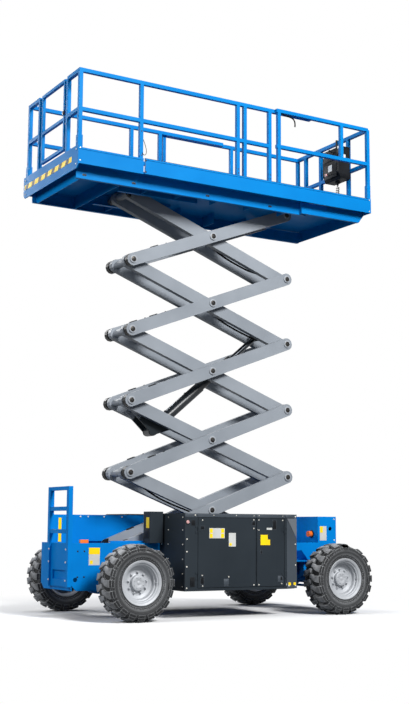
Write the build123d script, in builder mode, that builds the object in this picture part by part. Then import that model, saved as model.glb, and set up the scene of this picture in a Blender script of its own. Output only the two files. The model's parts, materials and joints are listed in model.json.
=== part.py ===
from build123d import *
from math import atan2, cos, degrees, hypot, radians, sin, sqrt
import os

os.makedirs("parts", exist_ok=True)

# Self-propelled scissor lift, raised part of the way, with its extension deck rolled out.
# Millimetres. The origin is on the ground, midway between the axles; +X points to the steered
# front axle, +Y to the far side, +Z up.

# Shared clearances
seat = 0.3                  # between two pieces that rest on each other
running = 0.05              # radial, between a shaft and its bore
gap = 6                     # between pieces that move past each other

# Wheels
wheelbase = 2720
wheel_y = 965               # centre plane of a tyre
tyre_radius = 415           # to the lugs' tips
tyre_width = 330
lug_height = 37
lug_count = 20              # on each side of the tread
tyre_sides = 24
rim_sides = 20
bead_radius = 212
flange_radius = 240
rim_width = 268             # between the flanges
rim_wall = 9
disc_offset = 30            # outer face of the wheel disc from the tyre's centre plane
hub_bore = 70

# Scissor stack
stages = 5
arm_length = 2354           # pin to pin
arm_depth = 150
arm_width = 70
arm_wall = 8
rest_angle = 20.85          # of each arm, from level
base_x = 1100               # fixed lower pivot
base_z = 795
inner_face = 125            # inner face of the inner arms, from the middle plane
arm_gap = 30                # between an inner and an outer arm
tube_radius = 45
pin_radius = 35
open_pin_clearance = 0.5
head_thickness = 10
flats = 12                  # sides of a boss, collar or pin head
bore_flats = 16             # sides of a bore that a round pin turns in

# Chassis
chassis_rear = -1870
chassis_front = 1750
chassis_half = 420
plate = 12
belly_z = 310
deck_z = 830                # top of the low side wall
wall_z = 1150               # top of the tall side wall and of the front box
floor_z = 600               # underside of the floor plate
arch_z = 735
arch_outer = 1550
arch_inner = 780
front_box_x = 1470
track_length = 1130
track_rear = -1370

# Cabinets at the sides
cabinet_rear = -770
cabinet_front = 740
cabinet_face = 1000
cabinet_z = 1165
cabinet_wall = 8
door_bottom = 345
door_top = 1118
door_thickness = 18

# Platform
deck_rear = -2060
deck_front = 1180           # of the fixed deck
extension_front = 2070
floor_top = 5075            # walking surface
sheet = 6
rail_size = 45
top_rail_z = 6150
mid_rail_z = 5690
main_rail_y = 727.5
extension_rail_y = 779.5
panel_thickness = 10
panel_bottom = 5034
panel_top = 5222
panel_y = 812               # outer face of the rolling side panels
fixed_panel_y = 794         # outer face of the fixed side panels
panel_seam = -1235
channel_z = 4910            # underside of the platform's frame

# Places that follow from the sizes
outer_face = inner_face + arm_width + arm_gap
stack_half = outer_face + arm_width
span = arm_length * cos(radians(rest_angle))
rise = arm_length * sin(radians(rest_angle))
left_x = base_x - span
top_z = base_z + stages * rise
carcass_radius = tyre_radius - lug_height


def finish(builder, label):
    """Name one finished piece and write it out."""
    builder.part.label = label
    export_step(builder.part, f"parts/{label}.step")


def flat_sided(radius, sides=flats):
    """Sketch a regular polygon that fits inside a circle of this radius."""
    RegularPolygon(radius, sides)


def flat_bore(radius, mode=Mode.SUBTRACT, sides=bore_flats):
    """Sketch a regular polygon that clears a round pin of this radius."""
    RegularPolygon(radius, sides, major_radius=False, mode=mode)


def flat_lathe(outline, sides, turned=0):
    """Ring with flat sides round the axle, from a closed outline of (radius, distance along +Y)."""
    turns = [radians(turned + number * 360 / sides) for number in range(sides)]
    rings = [[(radius * cos(turn), along, radius * sin(turn)) for turn in turns] for radius, along in outline]
    quads = []
    for near, far in zip(rings, rings[1:] + rings[:1]):
        for number in range(sides):
            corners = (near[number], near[number - 1], far[number - 1], far[number])
            quads.append(Face(Wire.make_polygon(corners)))
    return Solid(Shell(quads))


# Tyre: a flat-sided carcass with oblique lugs in two staggered rows
side_radius = 318           # where the sidewall is widest
lug_root = 355
lug_reach = 62              # furthest edge of a lug from its own middle line
tread_half = tyre_width / 2 - 8


def lug_planes(first):
    """Planes round the tyre's axle: x runs along the axle, z points outward."""
    turns = [radians(first + number * 360 / lug_count) for number in range(lug_count)]
    return [Plane(origin=(lug_root * sin(turn), 0, lug_root * cos(turn)), x_dir=(0, 1, 0),
                  z_dir=(sin(turn), 0, cos(turn))) for turn in turns]


bead_corner = bead_radius / cos(radians(180 / tyre_sides))
# Outline across the tread: radius, distance along the axle
carcass_outline = ((bead_corner, -rim_width / 2), (flange_radius + 4, -rim_width / 2),
                   (side_radius, 3 - tyre_width / 2), (carcass_radius, -tread_half), (carcass_radius, tread_half),
                   (side_radius, tyre_width / 2 - 3), (flange_radius + 4, rim_width / 2), (bead_corner, rim_width / 2))
with BuildPart() as tyre_form:
    add(flat_lathe(carcass_outline, tyre_sides, 180 / tyre_sides))
    for side, first in ((-1, 0), (1, 180 / lug_count)):
        with BuildSketch(*lug_planes(first)):
            with BuildLine():
                Polyline((side * -14, lug_reach), (side * tyre_width / 2, 24), (side * tyre_width / 2, -34),
                         (side * -14, 14), close=True)
            make_face()
        extrude(amount=sqrt(tyre_radius ** 2 - lug_reach ** 2) - lug_root)

# Wheel: flanges, barrel, dished disc and closed hub cap, outboard towards +Y
flange_low = rim_width / 2 + seat
rim_half = flange_low + rim_wall
barrel_inside = bead_radius - rim_wall
disc_thickness = 16
dish_depth = 44
dish_radius = 138
hub_sleeve_radius = 96
hub_cap_radius = 84
hub_cap_height = 46
hub_cap_wall = 12


hub_corner = hub_bore / cos(radians(180 / rim_sides))
# Section of the wheel: radius, distance along the axle
rim_outline = ((hub_corner, disc_offset - 60), (hub_sleeve_radius, disc_offset - 60),
               (hub_sleeve_radius, disc_offset - disc_thickness), (barrel_inside, disc_offset + dish_depth - 18),
               (barrel_inside, -rim_half), (flange_radius, -rim_half), (flange_radius, -flange_low),
               (bead_radius - seat, -flange_low), (bead_radius - seat, flange_low), (flange_radius, flange_low),
               (flange_radius, rim_half), (barrel_inside, rim_half), (barrel_inside, disc_offset + dish_depth),
               (dish_radius, disc_offset), (hub_cap_radius, disc_offset),
               (hub_cap_radius, disc_offset + hub_cap_height), (hub_corner, disc_offset + hub_cap_height))
with BuildPart() as rim_form:
    add(flat_lathe(rim_outline, rim_sides))
    with BuildSketch(Plane.XZ.offset(hub_cap_wall - disc_offset - hub_cap_height)):
        RegularPolygon(hub_corner + 1, rim_sides)
    extrude(amount=-hub_cap_wall)

wheel_places = {"rear_right": (-1, -1), "rear_left": (-1, 1), "front_right": (1, -1), "front_left": (1, 1)}
for corner, (end, side) in wheel_places.items():
    centre = Location((end * wheelbase / 2, side * wheel_y, tyre_radius))
    with BuildPart() as tyre:
        add(tyre_form.part if side > 0 else mirror(tyre_form.part, about=Plane.XZ, mode=Mode.PRIVATE))
    tyre.part.locate(centre)
    finish(tyre, f"tyre_{corner}")
    with BuildPart() as rim:
        add(rim_form.part if side > 0 else mirror(rim_form.part, about=Plane.XZ, mode=Mode.PRIVATE))
    rim.part.locate(centre)
    finish(rim, f"rim_{corner}")

# Axles
axle_radius = 62
drum_radius = 150
drum_inner = wheel_y - 120
drum_outer = wheel_y - 32
spindle_end = wheel_y + disc_offset + 26
kingpin_y = 700
kingpin_radius = 25
kingpin_eye = 48
eye_half = 46
knuckle_arm = 20
pad_x = 110
pad_y = 300
housing_half = 55
rear_housing_radius = 165
front_housing_radius = 118  # clears the tie rod at full lock


def spindle(side, inner, outer, radius, sides=0):
    """Fuse a shaft along Y at wheel height, round or with flat sides, from inner to outer on one side."""
    with BuildSketch(Plane.XZ.offset(-side * inner)) as section:
        with Locations((axle_x, tyre_radius)):
            if sides:
                flat_sided(radius, sides)
            else:
                Circle(radius)
    extrude(section.sketch, amount=-side * (outer - inner))


def axle_housing(radius):
    """Fuse the drive housing at the axle's middle, and its two pads up to the floor plate."""
    for side in (-1, 1):
        spindle(side, -1, housing_half, radius, bore_flats)
        spindle(side, housing_half - 1, housing_half + 35, radius - 45, bore_flats)
    with BuildSketch(Plane.XY.offset(tyre_radius)) as pads:
        with Locations((axle_x, -pad_y), (axle_x, pad_y)):
            Rectangle(pad_x, 90)
    extrude(pads.sketch, amount=floor_z - tyre_radius - seat)


axle_x = -wheelbase / 2
with BuildPart() as rear_axle:
    for side in (-1, 1):
        spindle(side, 0, drum_inner + 1, axle_radius, flats)
        spindle(side, drum_inner, drum_outer, drum_radius, bore_flats)
        spindle(side, drum_outer - 1, spindle_end, hub_bore - running)
    axle_housing(rear_housing_radius)
finish(rear_axle, "rear_axle")

axle_x = wheelbase / 2
with BuildPart() as front_axle:
    for side in (-1, 1):
        spindle(side, 0, kingpin_y, axle_radius - 8, flats)
        with BuildSketch(Plane.XY.offset(tyre_radius - eye_half)):
            with Locations((axle_x, side * kingpin_y)):
                flat_sided(kingpin_eye)
        extrude(amount=2 * eye_half)
        with BuildSketch(Plane.XY.offset(tyre_radius - 90)):
            with Locations((axle_x, side * kingpin_y)):
                Rectangle(2 * kingpin_eye + 20, 2 * kingpin_eye + 20)
        extrude(amount=90 - eye_half, mode=Mode.SUBTRACT)
        with BuildSketch(Plane.XY.offset(tyre_radius + eye_half)):
            with Locations((axle_x, side * kingpin_y)):
                Rectangle(2 * kingpin_eye + 20, 2 * kingpin_eye + 20)
        extrude(amount=90 - eye_half, mode=Mode.SUBTRACT)
        with BuildSketch(Plane.XY.offset(tyre_radius - eye_half)):
            with Locations((axle_x, side * kingpin_y)):
                flat_bore(kingpin_radius + running, Mode.ADD)
        extrude(amount=2 * eye_half, mode=Mode.SUBTRACT)
    axle_housing(front_housing_radius)
finish(front_axle, "front_axle")

# Steering knuckles, with the tie rod's arms behind the axle. The rod turns on a pin of the left knuckle;
# at the right knuckle the linkage is opened, and the rod's eye with its stud ends just below the arm.
arm_reach = 180
arm_inset = 60
tie_pin_radius = 14
plate_low = tyre_radius - eye_half - gap - knuckle_arm
for side, label in ((-1, "right"), (1, "left")):
    with BuildPart() as knuckle:
        for low in (plate_low, tyre_radius + eye_half + gap):
            with BuildSketch(Plane.XY.offset(low)):
                with Locations((axle_x, side * kingpin_y)):
                    flat_sided(kingpin_eye)
                with Locations((axle_x, side * (kingpin_y + 60))):
                    Rectangle(2 * kingpin_eye, 120)
            extrude(amount=knuckle_arm)
        with BuildSketch(Plane.XY.offset(plate_low)):
            with Locations((axle_x, side * kingpin_y)):
                Circle(kingpin_radius)
        extrude(amount=2 * (eye_half + gap + knuckle_arm))
        spindle(side, kingpin_y + 70, drum_inner + 1, eye_half + gap + knuckle_arm, bore_flats)
        spindle(side, drum_inner, drum_outer, drum_radius, bore_flats)
        spindle(side, drum_outer - 1, spindle_end, hub_bore - running)
        with BuildSketch(Plane.XY.offset(plate_low)):
            with BuildLine():
                Polyline((axle_x, side * (kingpin_y - 30)), (axle_x - arm_reach, side * (kingpin_y - arm_inset - 26)),
                         (axle_x - arm_reach, side * (kingpin_y - arm_inset + 26)),
                         (axle_x, side * (kingpin_y + 40)), close=True)
            make_face()
            with Locations((axle_x - arm_reach, side * (kingpin_y - arm_inset))):
                flat_sided(26)
        extrude(amount=knuckle_arm)
        if side > 0:
            with BuildSketch(Plane.XY.offset(plate_low - 40)):
                with Locations((axle_x - arm_reach, kingpin_y - arm_inset)):
                    Circle(tie_pin_radius)
            extrude(amount=42)
    finish(knuckle, f"steering_knuckle_{label}")

tie_x = axle_x - arm_reach
tie_y = kingpin_y - arm_inset
tie_z = plate_low - 22
with BuildPart() as tie_rod:
    with BuildSketch(Plane.XZ.offset(-tie_y)):
        with Locations((tie_x, tie_z)):
            flat_sided(15)
    extrude(amount=2 * tie_y)
    with BuildSketch(Plane.XY.offset(tie_z - 16)):
        with Locations((tie_x, -tie_y), (tie_x, tie_y)):
            flat_sided(30)
    extrude(amount=32)
    with BuildSketch(Plane.XY.offset(tie_z - 17)):
        with Locations((tie_x, tie_y)):
            flat_bore(tie_pin_radius + running, Mode.ADD)
    extrude(amount=34, mode=Mode.SUBTRACT)
finish(tie_rod, "tie_rod")

# Chassis: a floor between two side walls, open on top for the folded stack
cross_member = 60
track_y = stack_half + 10
track_depth = 52
roller_radius = 42
roller_width = 38
bracket_half = 70
with BuildPart() as chassis_floor:
    with BuildSketch(Plane.XY.offset(floor_z)):
        with Locations(((chassis_rear + chassis_front) / 2, 0)):
            Rectangle(chassis_front - chassis_rear - 2 * plate, 2 * (chassis_half - plate))
    extrude(amount=plate)
    with BuildSketch(Plane.XY.offset(floor_z - 140)):
        with Locations(*((x, 0) for x in (-1780, -720, 0, 720, 1700))):
            Rectangle(cross_member, 2 * (chassis_half - plate))
    extrude(amount=140)
    with BuildSketch(Plane.XY.offset(floor_z - 90)):
        with Locations((0, -pad_y), (0, pad_y)):
            Rectangle(1380, 50)
    extrude(amount=90)
    for side in (-1, 1):
        with BuildSketch(Plane.YZ.offset(track_rear)):
            with BuildLine():
                web = side * (track_y + track_depth)
                lip = side * track_y
                skin = side * 10
                low = base_z - roller_radius - gap
                high = base_z + roller_radius + gap
                Polyline((web, floor_z + plate), (web, high + 10), (lip, high + 10), (lip, high), (web - skin, high),
                         (web - skin, low), (lip, low), (lip, low - 10), (web - skin, low - 10),
                         (web - skin, floor_z + plate), close=True)
            make_face()
        extrude(amount=track_length)
        with BuildSketch(Plane.XZ.offset(-side * (outer_face + 7))):
            with BuildLine():
                Polyline((base_x - bracket_half - 20, floor_z + plate), (base_x - bracket_half, base_z),
                         (base_x + bracket_half, base_z), (base_x + bracket_half + 20, floor_z + plate), close=True)
            make_face()
            with Locations((base_x, base_z)):
                RegularPolygon(bracket_half, flats, major_radius=False)
        extrude(amount=-side * (arm_width - 14))
    with BuildSketch(Plane.XZ.offset(-outer_face - 8)):
        with Locations((base_x, base_z)):
            Circle(tube_radius)
    extrude(amount=2 * (outer_face + 8))
finish(chassis_floor, "chassis_floor")


tie_down_radius = 25
# Clear of the tyres, so that a shackle reaches them: X and Z of the rear and of the front one
tie_downs = ((chassis_rear + 45, 430), (chassis_front - 90, 1000))


def side_wall(y_low, high_from):
    """One chassis side wall with its two wheel arches, and its outline above the low edge."""
    with BuildSketch(Plane.XZ.offset(-y_low)) as outline:
        with BuildLine():
            Polyline((chassis_rear, belly_z + 60), (chassis_rear + 60, belly_z), (-arch_outer, belly_z),
                     (-arch_outer + 150, 520), (-arch_outer + 330, arch_z), (-arch_inner - 120, arch_z),
                     (-arch_inner, arch_z - 130), (-arch_inner, belly_z), (arch_inner, belly_z),
                     (arch_inner, arch_z - 130), (arch_inner + 120, arch_z), (arch_outer - 330, arch_z),
                     (arch_outer - 150, 520), (arch_outer, belly_z), (chassis_front - 60, belly_z),
                     (chassis_front, belly_z + 60), (chassis_front, wall_z), (high_from, wall_z),
                     (high_from, deck_z), (chassis_rear, deck_z), close=True)
        make_face()
        with Locations(*tie_downs):
            Circle(tie_down_radius, mode=Mode.SUBTRACT)
    extrude(outline.sketch, amount=-plate)


with BuildPart() as chassis_wall_near:
    side_wall(-chassis_half, front_box_x)
    with BuildSketch(Plane.XY.offset(deck_z - plate)):
        with Locations(((chassis_rear + front_box_x) / 2, -chassis_half + 25)):
            Rectangle(front_box_x - chassis_rear - 2 * plate, 50 - 2)
    extrude(amount=plate)
finish(chassis_wall_near, "chassis_wall_near")

with BuildPart() as chassis_wall_far:
    side_wall(chassis_half - plate, chassis_rear + 70)
finish(chassis_wall_far, "chassis_wall_far")

inner_half = chassis_half - plate
with BuildPart() as chassis_rear_plate:
    with BuildSketch(Plane.YZ.offset(chassis_rear)):
        with BuildLine():
            Polyline((-inner_half, deck_z), (inner_half, deck_z), (inner_half, belly_z + 60),
                     (inner_half - 70, belly_z), (-inner_half, belly_z), close=True)
        make_face()
    extrude(amount=plate)
finish(chassis_rear_plate, "chassis_rear_plate")

with BuildPart() as chassis_front_box:
    with BuildSketch(Plane.YZ.offset(chassis_front - plate)):
        with Locations((0, (wall_z + belly_z) / 2)):
            Rectangle(2 * inner_half, wall_z - belly_z)
    extrude(amount=plate)
    with BuildSketch(Plane.YZ.offset(front_box_x)):
        with Locations((0, (wall_z + floor_z + plate) / 2)):
            Rectangle(2 * inner_half, wall_z - floor_z - plate)
    extrude(amount=plate)
    with BuildSketch(Plane.XY.offset(wall_z - plate)):
        with Locations(((front_box_x + chassis_front) / 2, 0)):
            Rectangle(chassis_front - front_box_x, 2 * inner_half)
    extrude(amount=plate)
finish(chassis_front_box, "chassis_front_box")

# Entry ladder on the rear end, with the step box below it
upright_x = 50
upright_y = 60
ladder_near = -chassis_half + upright_y / 2
ladder_far = 120
ladder_low = 350
ladder_top = 1455
ladder_x = chassis_rear - upright_x / 2
with BuildPart() as ladder:
    with BuildSketch(Plane.XY.offset(ladder_low)):
        with Locations((ladder_x, ladder_near), (ladder_x, ladder_far)):
            Rectangle(upright_x, upright_y)
    extrude(amount=ladder_top - ladder_low)
    for rung_z, rung_height in ((ladder_top - 42, 42), (1185, 46), (935, 46)):
        with BuildSketch(Plane.XY.offset(rung_z)):
            with Locations((ladder_x, (ladder_near + ladder_far) / 2)):
                Rectangle(upright_x - 8, ladder_far - ladder_near)
        extrude(amount=rung_height)
    with BuildSketch(Plane.YZ.offset(chassis_rear - 22)):
        with Locations(((ladder_near + ladder_far) / 2, (deck_z + ladder_low) / 2)):
            Rectangle(ladder_far - ladder_near, deck_z - ladder_low)
        with Locations(((ladder_near + ladder_far) / 2, 480)):
            Rectangle(ladder_far - ladder_near - 150, 100, mode=Mode.SUBTRACT)
    extrude(amount=22)
finish(ladder, "ladder")

with BuildPart() as marker_lamps:
    for lamp_x, lamp_y, lamp_z in ((-1720, -400, deck_z + seat), (-1730, chassis_half + 21 + seat, deck_z - 25)):
        with BuildSketch(Plane.XY.offset(lamp_z)):
            with Locations((lamp_x, lamp_y)):
                Rectangle(95, 42)
        extrude(amount=38)
    with BuildSketch(Plane.YZ.offset(front_box_x - 60)):
        with Locations((-290, 935)):
            Circle(36)
    extrude(amount=60 - seat)
finish(marker_lamps, "marker_lamps")

with BuildPart() as ground_control_box:
    with BuildSketch(Plane.XY.offset(deck_z)):
        with Locations((-875, -chassis_half - 32)):
            Rectangle(170, 170)
    extrude(amount=355)
    fillet(edges().filter_by(Axis.Z), radius=10)
finish(ground_control_box, "ground_control_box")


# Side cabinets with hinged doors
# Each door: its name, its two ends along X, and the way its leaf lies from its hinges
door_spans = (("main", -600, 168, 1), ("small", 182, 560, -1))
door_slot = 5
hinge_lows_door = (430, 940)
knuckle_radius = 7
knuckle_sides = 8
knuckle_height = 25
leaf_knuckle_height = 40
door_pin_radius = 3
strap_length = 34
strap_thickness = 4
door_hinge_y = cabinet_face + knuckle_radius + 0.5


def hinge_leaf(side, hinge_x, toward, low, height):
    """Fuse one hinge knuckle with its strap, which lies towards one end of the machine."""
    with BuildSketch(Plane.XY.offset(low)) as section:
        with Locations((hinge_x, side * door_hinge_y)):
            flat_sided(knuckle_radius, knuckle_sides)
        with Locations((hinge_x + toward * strap_length / 2, side * (cabinet_face + strap_thickness / 2 - 0.5))):
            Rectangle(strap_length, strap_thickness + 1)
    extrude(section.sketch, amount=height)


for side, hand in ((-1, "near"), (1, "far")):
    back = chassis_half + seat
    with BuildPart() as cabinet:
        with BuildSketch(Plane.XY.offset(belly_z)) as plan:
            with BuildLine():
                Polyline((cabinet_rear, side * back), (cabinet_rear, side * cabinet_face),
                         (600, side * cabinet_face), (cabinet_front, side * (cabinet_face - 50)),
                         (cabinet_front, side * back), close=True)
            make_face()
        extrude(amount=cabinet_z - belly_z)
        face_edges = edges().group_by(Axis.Z)[-1].filter_by(Axis.X)
        chamfer(face_edges.sort_by(Axis.Y)[0 if side < 0 else -1], length=34)
        with BuildSketch(Plane.XY.offset(belly_z + cabinet_wall)):
            with BuildLine():
                Polyline((cabinet_rear, side * back), (cabinet_rear, side * cabinet_face),
                         (600, side * cabinet_face), (cabinet_front, side * (cabinet_face - 50)),
                         (cabinet_front, side * back), close=True)
            make_face()
            offset(amount=-cabinet_wall, kind=Kind.INTERSECTION)
        extrude(amount=door_top - belly_z - cabinet_wall + 5, mode=Mode.SUBTRACT)
        for door, low, high, toward in door_spans:
            with BuildSketch(Plane.XZ.offset(-side * (cabinet_face - 40))):
                with Locations(((low + high) / 2, (door_bottom + door_top) / 2)):
                    Rectangle(high - low + 2 * door_slot, door_top - door_bottom + 2 * door_slot)
            extrude(amount=-side * 60, mode=Mode.SUBTRACT)
        for door, low, high, toward in door_spans:
            hinge_x = (low if toward > 0 else high) - toward * door_slot / 2
            for hinge_z in hinge_lows_door:
                hinge_leaf(side, hinge_x, -toward, hinge_z, knuckle_height)
                hinge_leaf(side, hinge_x, -toward, hinge_z + knuckle_height + leaf_knuckle_height, knuckle_height)
                with BuildSketch(Plane.XY.offset(hinge_z)):
                    with Locations((hinge_x, side * door_hinge_y)):
                        Circle(door_pin_radius)
                extrude(amount=2 * knuckle_height + leaf_knuckle_height)
    finish(cabinet, f"cabinet_{hand}")
    for door, low, high, toward in door_spans:
        hinge_x = (low if toward > 0 else high) - toward * door_slot / 2
        with BuildPart() as leaf:
            with BuildSketch(Plane.XZ.offset(-side * (cabinet_face - door_thickness))):
                with Locations(((low + high) / 2, (door_bottom + door_top) / 2)):
                    Rectangle(high - low, door_top - door_bottom)
            extrude(amount=-side * door_thickness)
            for hinge_z in hinge_lows_door:
                leaf_low = hinge_z + knuckle_height + seat
                hinge_leaf(side, hinge_x, toward, leaf_low, leaf_knuckle_height - 2 * seat)
                with BuildSketch(Plane.XY.offset(leaf_low)):
                    with Locations((hinge_x, side * door_hinge_y)):
                        flat_bore(door_pin_radius + running, Mode.ADD, knuckle_sides)
                extrude(amount=leaf_knuckle_height - 2 * seat, mode=Mode.SUBTRACT)
        finish(leaf, f"door_{hand}_{door}")

with BuildPart() as engine_block:
    with BuildSketch(Plane.XY.offset(belly_z + cabinet_wall + seat)):
        with Locations((-120, 720)):
            Rectangle(820, 380)
    extrude(amount=620)
finish(engine_block, "engine_block")


# Scissor arms. A local plane lies along each arm: x from its first pivot, y up, z towards the near side
def arm_plane(start, angle, y):
    """Plane along an arm that leaves start = (x, z) at the given angle from +X."""
    slope = radians(angle)
    return Plane(origin=(start[0], y, start[1]), x_dir=(cos(slope), 0, sin(slope)), z_dir=(0, -1, 0))


def hollow_arm(start, angle, y_far, bores):
    """Fuse one box-section arm that spans y_far - arm_width to y_far, with a bore at each distance."""
    face = arm_plane(start, angle, y_far)
    with BuildSketch(face) as outline:
        with Locations((arm_length / 2, 0)):
            Rectangle(arm_length, arm_depth)
        with Locations((0, 0), (arm_length, 0)):
            RegularPolygon(arm_depth / 2, flats, major_radius=False, rotation=180 / flats)
    extrude(outline.sketch, amount=arm_width)
    cell = arm_length / 2 - 2 * 80
    with BuildSketch(face.offset(arm_wall)) as cells:
        with Locations((arm_length / 4, 0), (arm_length * 3 / 4, 0)):
            Rectangle(cell, arm_depth - 2 * arm_wall)
    extrude(cells.sketch, amount=arm_width - 2 * arm_wall, mode=Mode.SUBTRACT)
    for distance, radius in bores:
        with BuildSketch(face) as bore:
            with Locations((distance, 0)):
                flat_bore(radius, Mode.ADD)
        extrude(bore.sketch, amount=arm_width, mode=Mode.SUBTRACT)


def cross_shaft(start, angle, distance, radius, y_low, y_high, sides=0):
    """Fuse a bar across the machine on an arm's axis, round or with flat sides."""
    with BuildSketch(arm_plane(start, angle, y_high)) as section:
        with Locations((distance, 0)):
            if sides:
                flat_sided(radius, sides)
            else:
                Circle(radius)
    extrude(section.sketch, amount=y_high - y_low)


outer_starts = [(left_x, base_z + level * rise) for level in range(stages)]
inner_starts = [(base_x, base_z + level * rise) for level in range(stages)]
inner_angle = 180 - rest_angle

# Outer arms rise from the left pins to the right pins, and carry the right-hand cross tubes
for number, start in enumerate(outer_starts, start=1):
    with BuildPart() as outer_arms:
        for y_far in (stack_half, -outer_face):
            hollow_arm(start, rest_angle, y_far,
                       ((0, pin_radius + open_pin_clearance), (arm_length / 2, pin_radius + running)))
        cross_shaft(start, rest_angle, arm_length, tube_radius, -outer_face - 1, outer_face + 1)
        for side in (-1, 1):
            low, high = sorted((side * stack_half, side * (stack_half + head_thickness)))
            cross_shaft(start, rest_angle, arm_length, 30, low, high, flats)
            if number == 1:
                roller_low, roller_high = sorted((side * (track_y + 2), side * (track_y + 2 + roller_width)))
                cross_shaft(start, rest_angle, 0, roller_radius, roller_low, roller_high, bore_flats)
                pin_low, pin_high = sorted((side * outer_face, side * (track_y + 3)))
                cross_shaft(start, rest_angle, 0, 45, pin_low, pin_high, flats)
    finish(outer_arms, f"outer_arms_{number}")

# Lift cylinder pivots, on the second and fourth pair of inner arms
lower_eye_along = 500       # from the upper left pin of the second pair
lower_eye_drop = 165
upper_eye_along = 300       # from the lower right pin of the fourth pair
eye_pin_radius = 30
slope = radians(rest_angle)
second_left = (left_x, base_z + 2 * rise)
lower_eye = (second_left[0] + lower_eye_along * cos(slope) - lower_eye_drop * sin(slope),
             second_left[1] - lower_eye_along * sin(slope) - lower_eye_drop * cos(slope))
fourth_right = inner_starts[3]
upper_eye = (fourth_right[0] - upper_eye_along * cos(slope), fourth_right[1] + upper_eye_along * sin(slope))
bracket_inner = 74
bracket_width = 18

top_track_y = stack_half + head_thickness + 8

# Inner arms rise from the right pins to the left pins, and carry the left-hand and centre pins
collar_radius = 68
for number, start in enumerate(inner_starts, start=1):
    with BuildPart() as inner_arms:
        for y_far in (inner_face + arm_width, -inner_face):
            hollow_arm(start, inner_angle, y_far, ((0, tube_radius + running),))
        cross_shaft(start, inner_angle, arm_length, tube_radius, -inner_face - 1, inner_face + 1, bore_flats)
        for side in (-1, 1):
            for distance, sides in ((arm_length / 2, 0), (arm_length, bore_flats)):
                pin_face = side * (inner_face + arm_width)
                head_face = side * (stack_half + 1)
                low, high = sorted((pin_face, head_face + side))
                cross_shaft(start, inner_angle, distance, pin_radius, low, high, sides)
                low, high = sorted((head_face, head_face + side * head_thickness))
                cross_shaft(start, inner_angle, distance, 44, low, high, flats)
                low, high = sorted((pin_face, side * (outer_face - 1)))
                cross_shaft(start, inner_angle, distance, collar_radius, low, high, flats)
        if number == 2:
            far_side = arm_plane(start, inner_angle, bracket_inner + bracket_width)
            for plane in (far_side, arm_plane(start, inner_angle, -bracket_inner)):
                with BuildSketch(plane):
                    with BuildLine():
                        Polyline((arm_length - 150, 0), (arm_length - 150, 60),
                                 (arm_length - lower_eye_along + 45, lower_eye_drop + 20),
                                 (arm_length - lower_eye_along - 45, lower_eye_drop + 20),
                                 (arm_length - 700, 60), (arm_length - 700, 0), close=True)
                    make_face()
                    with Locations((arm_length - lower_eye_along, lower_eye_drop)):
                        flat_sided(52)
                extrude(amount=bracket_width)
            cross_shaft(start, inner_angle, arm_length - 190, 34, -inner_face - 1, inner_face + 1, flats)
            far_spacer = arm_plane(start, inner_angle, inner_face + 1)
            for plane in (far_spacer, arm_plane(start, inner_angle, 1 - bracket_inner - bracket_width)):
                with BuildSketch(plane):
                    with Locations((arm_length - 640, 0)):
                        Rectangle(110, 100)
                extrude(amount=inner_face + 2 - bracket_inner - bracket_width)
            with BuildSketch(arm_plane(start, inner_angle, bracket_inner + bracket_width)):
                with Locations((arm_length - lower_eye_along, lower_eye_drop)):
                    Circle(eye_pin_radius)
            extrude(amount=2 * (bracket_inner + bracket_width))
        if number == 4:
            for side in (-1, 1):
                low, high = sorted((side * bracket_inner, side * (inner_face + 1)))
                cross_shaft(start, inner_angle, upper_eye_along, eye_pin_radius, low, high, bore_flats)
        if number == stages:
            for side in (-1, 1):
                low, high = sorted((side * (inner_face + arm_width), side * (top_track_y + 3)))
                cross_shaft(start, inner_angle, arm_length, pin_radius, low, high, bore_flats)
                low, high = sorted((side * (top_track_y + 2), side * (top_track_y + 2 + roller_width - 4)))
                cross_shaft(start, inner_angle, arm_length, roller_radius, low, high, bore_flats)
    finish(inner_arms, f"inner_arms_{number}")

# Lift cylinder between those pivots, opened at the rod's eye: the pin's middle belongs to the rod, and
# its two ends to the fourth pair of arms
cylinder_angle = degrees(atan2(upper_eye[1] - lower_eye[1], upper_eye[0] - lower_eye[0]))
cylinder_length = hypot(upper_eye[0] - lower_eye[0], upper_eye[1] - lower_eye[1])
barrel_length = 1480
sleeve_length = 860
barrel_radius = 52
sleeve_radius = 62
rod_radius = 34
eye_radius = 55
eye_half_width = bracket_inner - gap


def along_cylinder(distance):
    """Plane square to the cylinder, at a distance from its lower pivot."""
    direction = (cos(radians(cylinder_angle)), 0, sin(radians(cylinder_angle)))
    origin = (lower_eye[0] + distance * direction[0], 0, lower_eye[1] + distance * direction[2])
    return Plane(origin=origin, x_dir=(0, 1, 0), z_dir=direction)


with BuildPart() as cylinder_barrel:
    with BuildSketch(along_cylinder(0)):
        Circle(barrel_radius)
    extrude(amount=barrel_length)
    with BuildSketch(along_cylinder(40)):
        Circle(sleeve_radius)
    extrude(amount=sleeve_length)
    with BuildSketch(along_cylinder(barrel_length - 60)):
        Circle(barrel_radius + 8)
    extrude(amount=60)
    with BuildSketch(arm_plane(lower_eye, cylinder_angle, eye_half_width)):
        flat_sided(eye_radius, bore_flats)
    extrude(amount=2 * eye_half_width)
    with BuildSketch(arm_plane(lower_eye, cylinder_angle, eye_half_width)):
        flat_bore(eye_pin_radius + running, Mode.ADD)
    extrude(amount=2 * eye_half_width, mode=Mode.SUBTRACT)
    with BuildSketch(along_cylinder(120)):
        flat_bore(rod_radius + running, Mode.ADD)
    extrude(amount=barrel_length, mode=Mode.SUBTRACT)
finish(cylinder_barrel, "cylinder_barrel")

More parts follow.
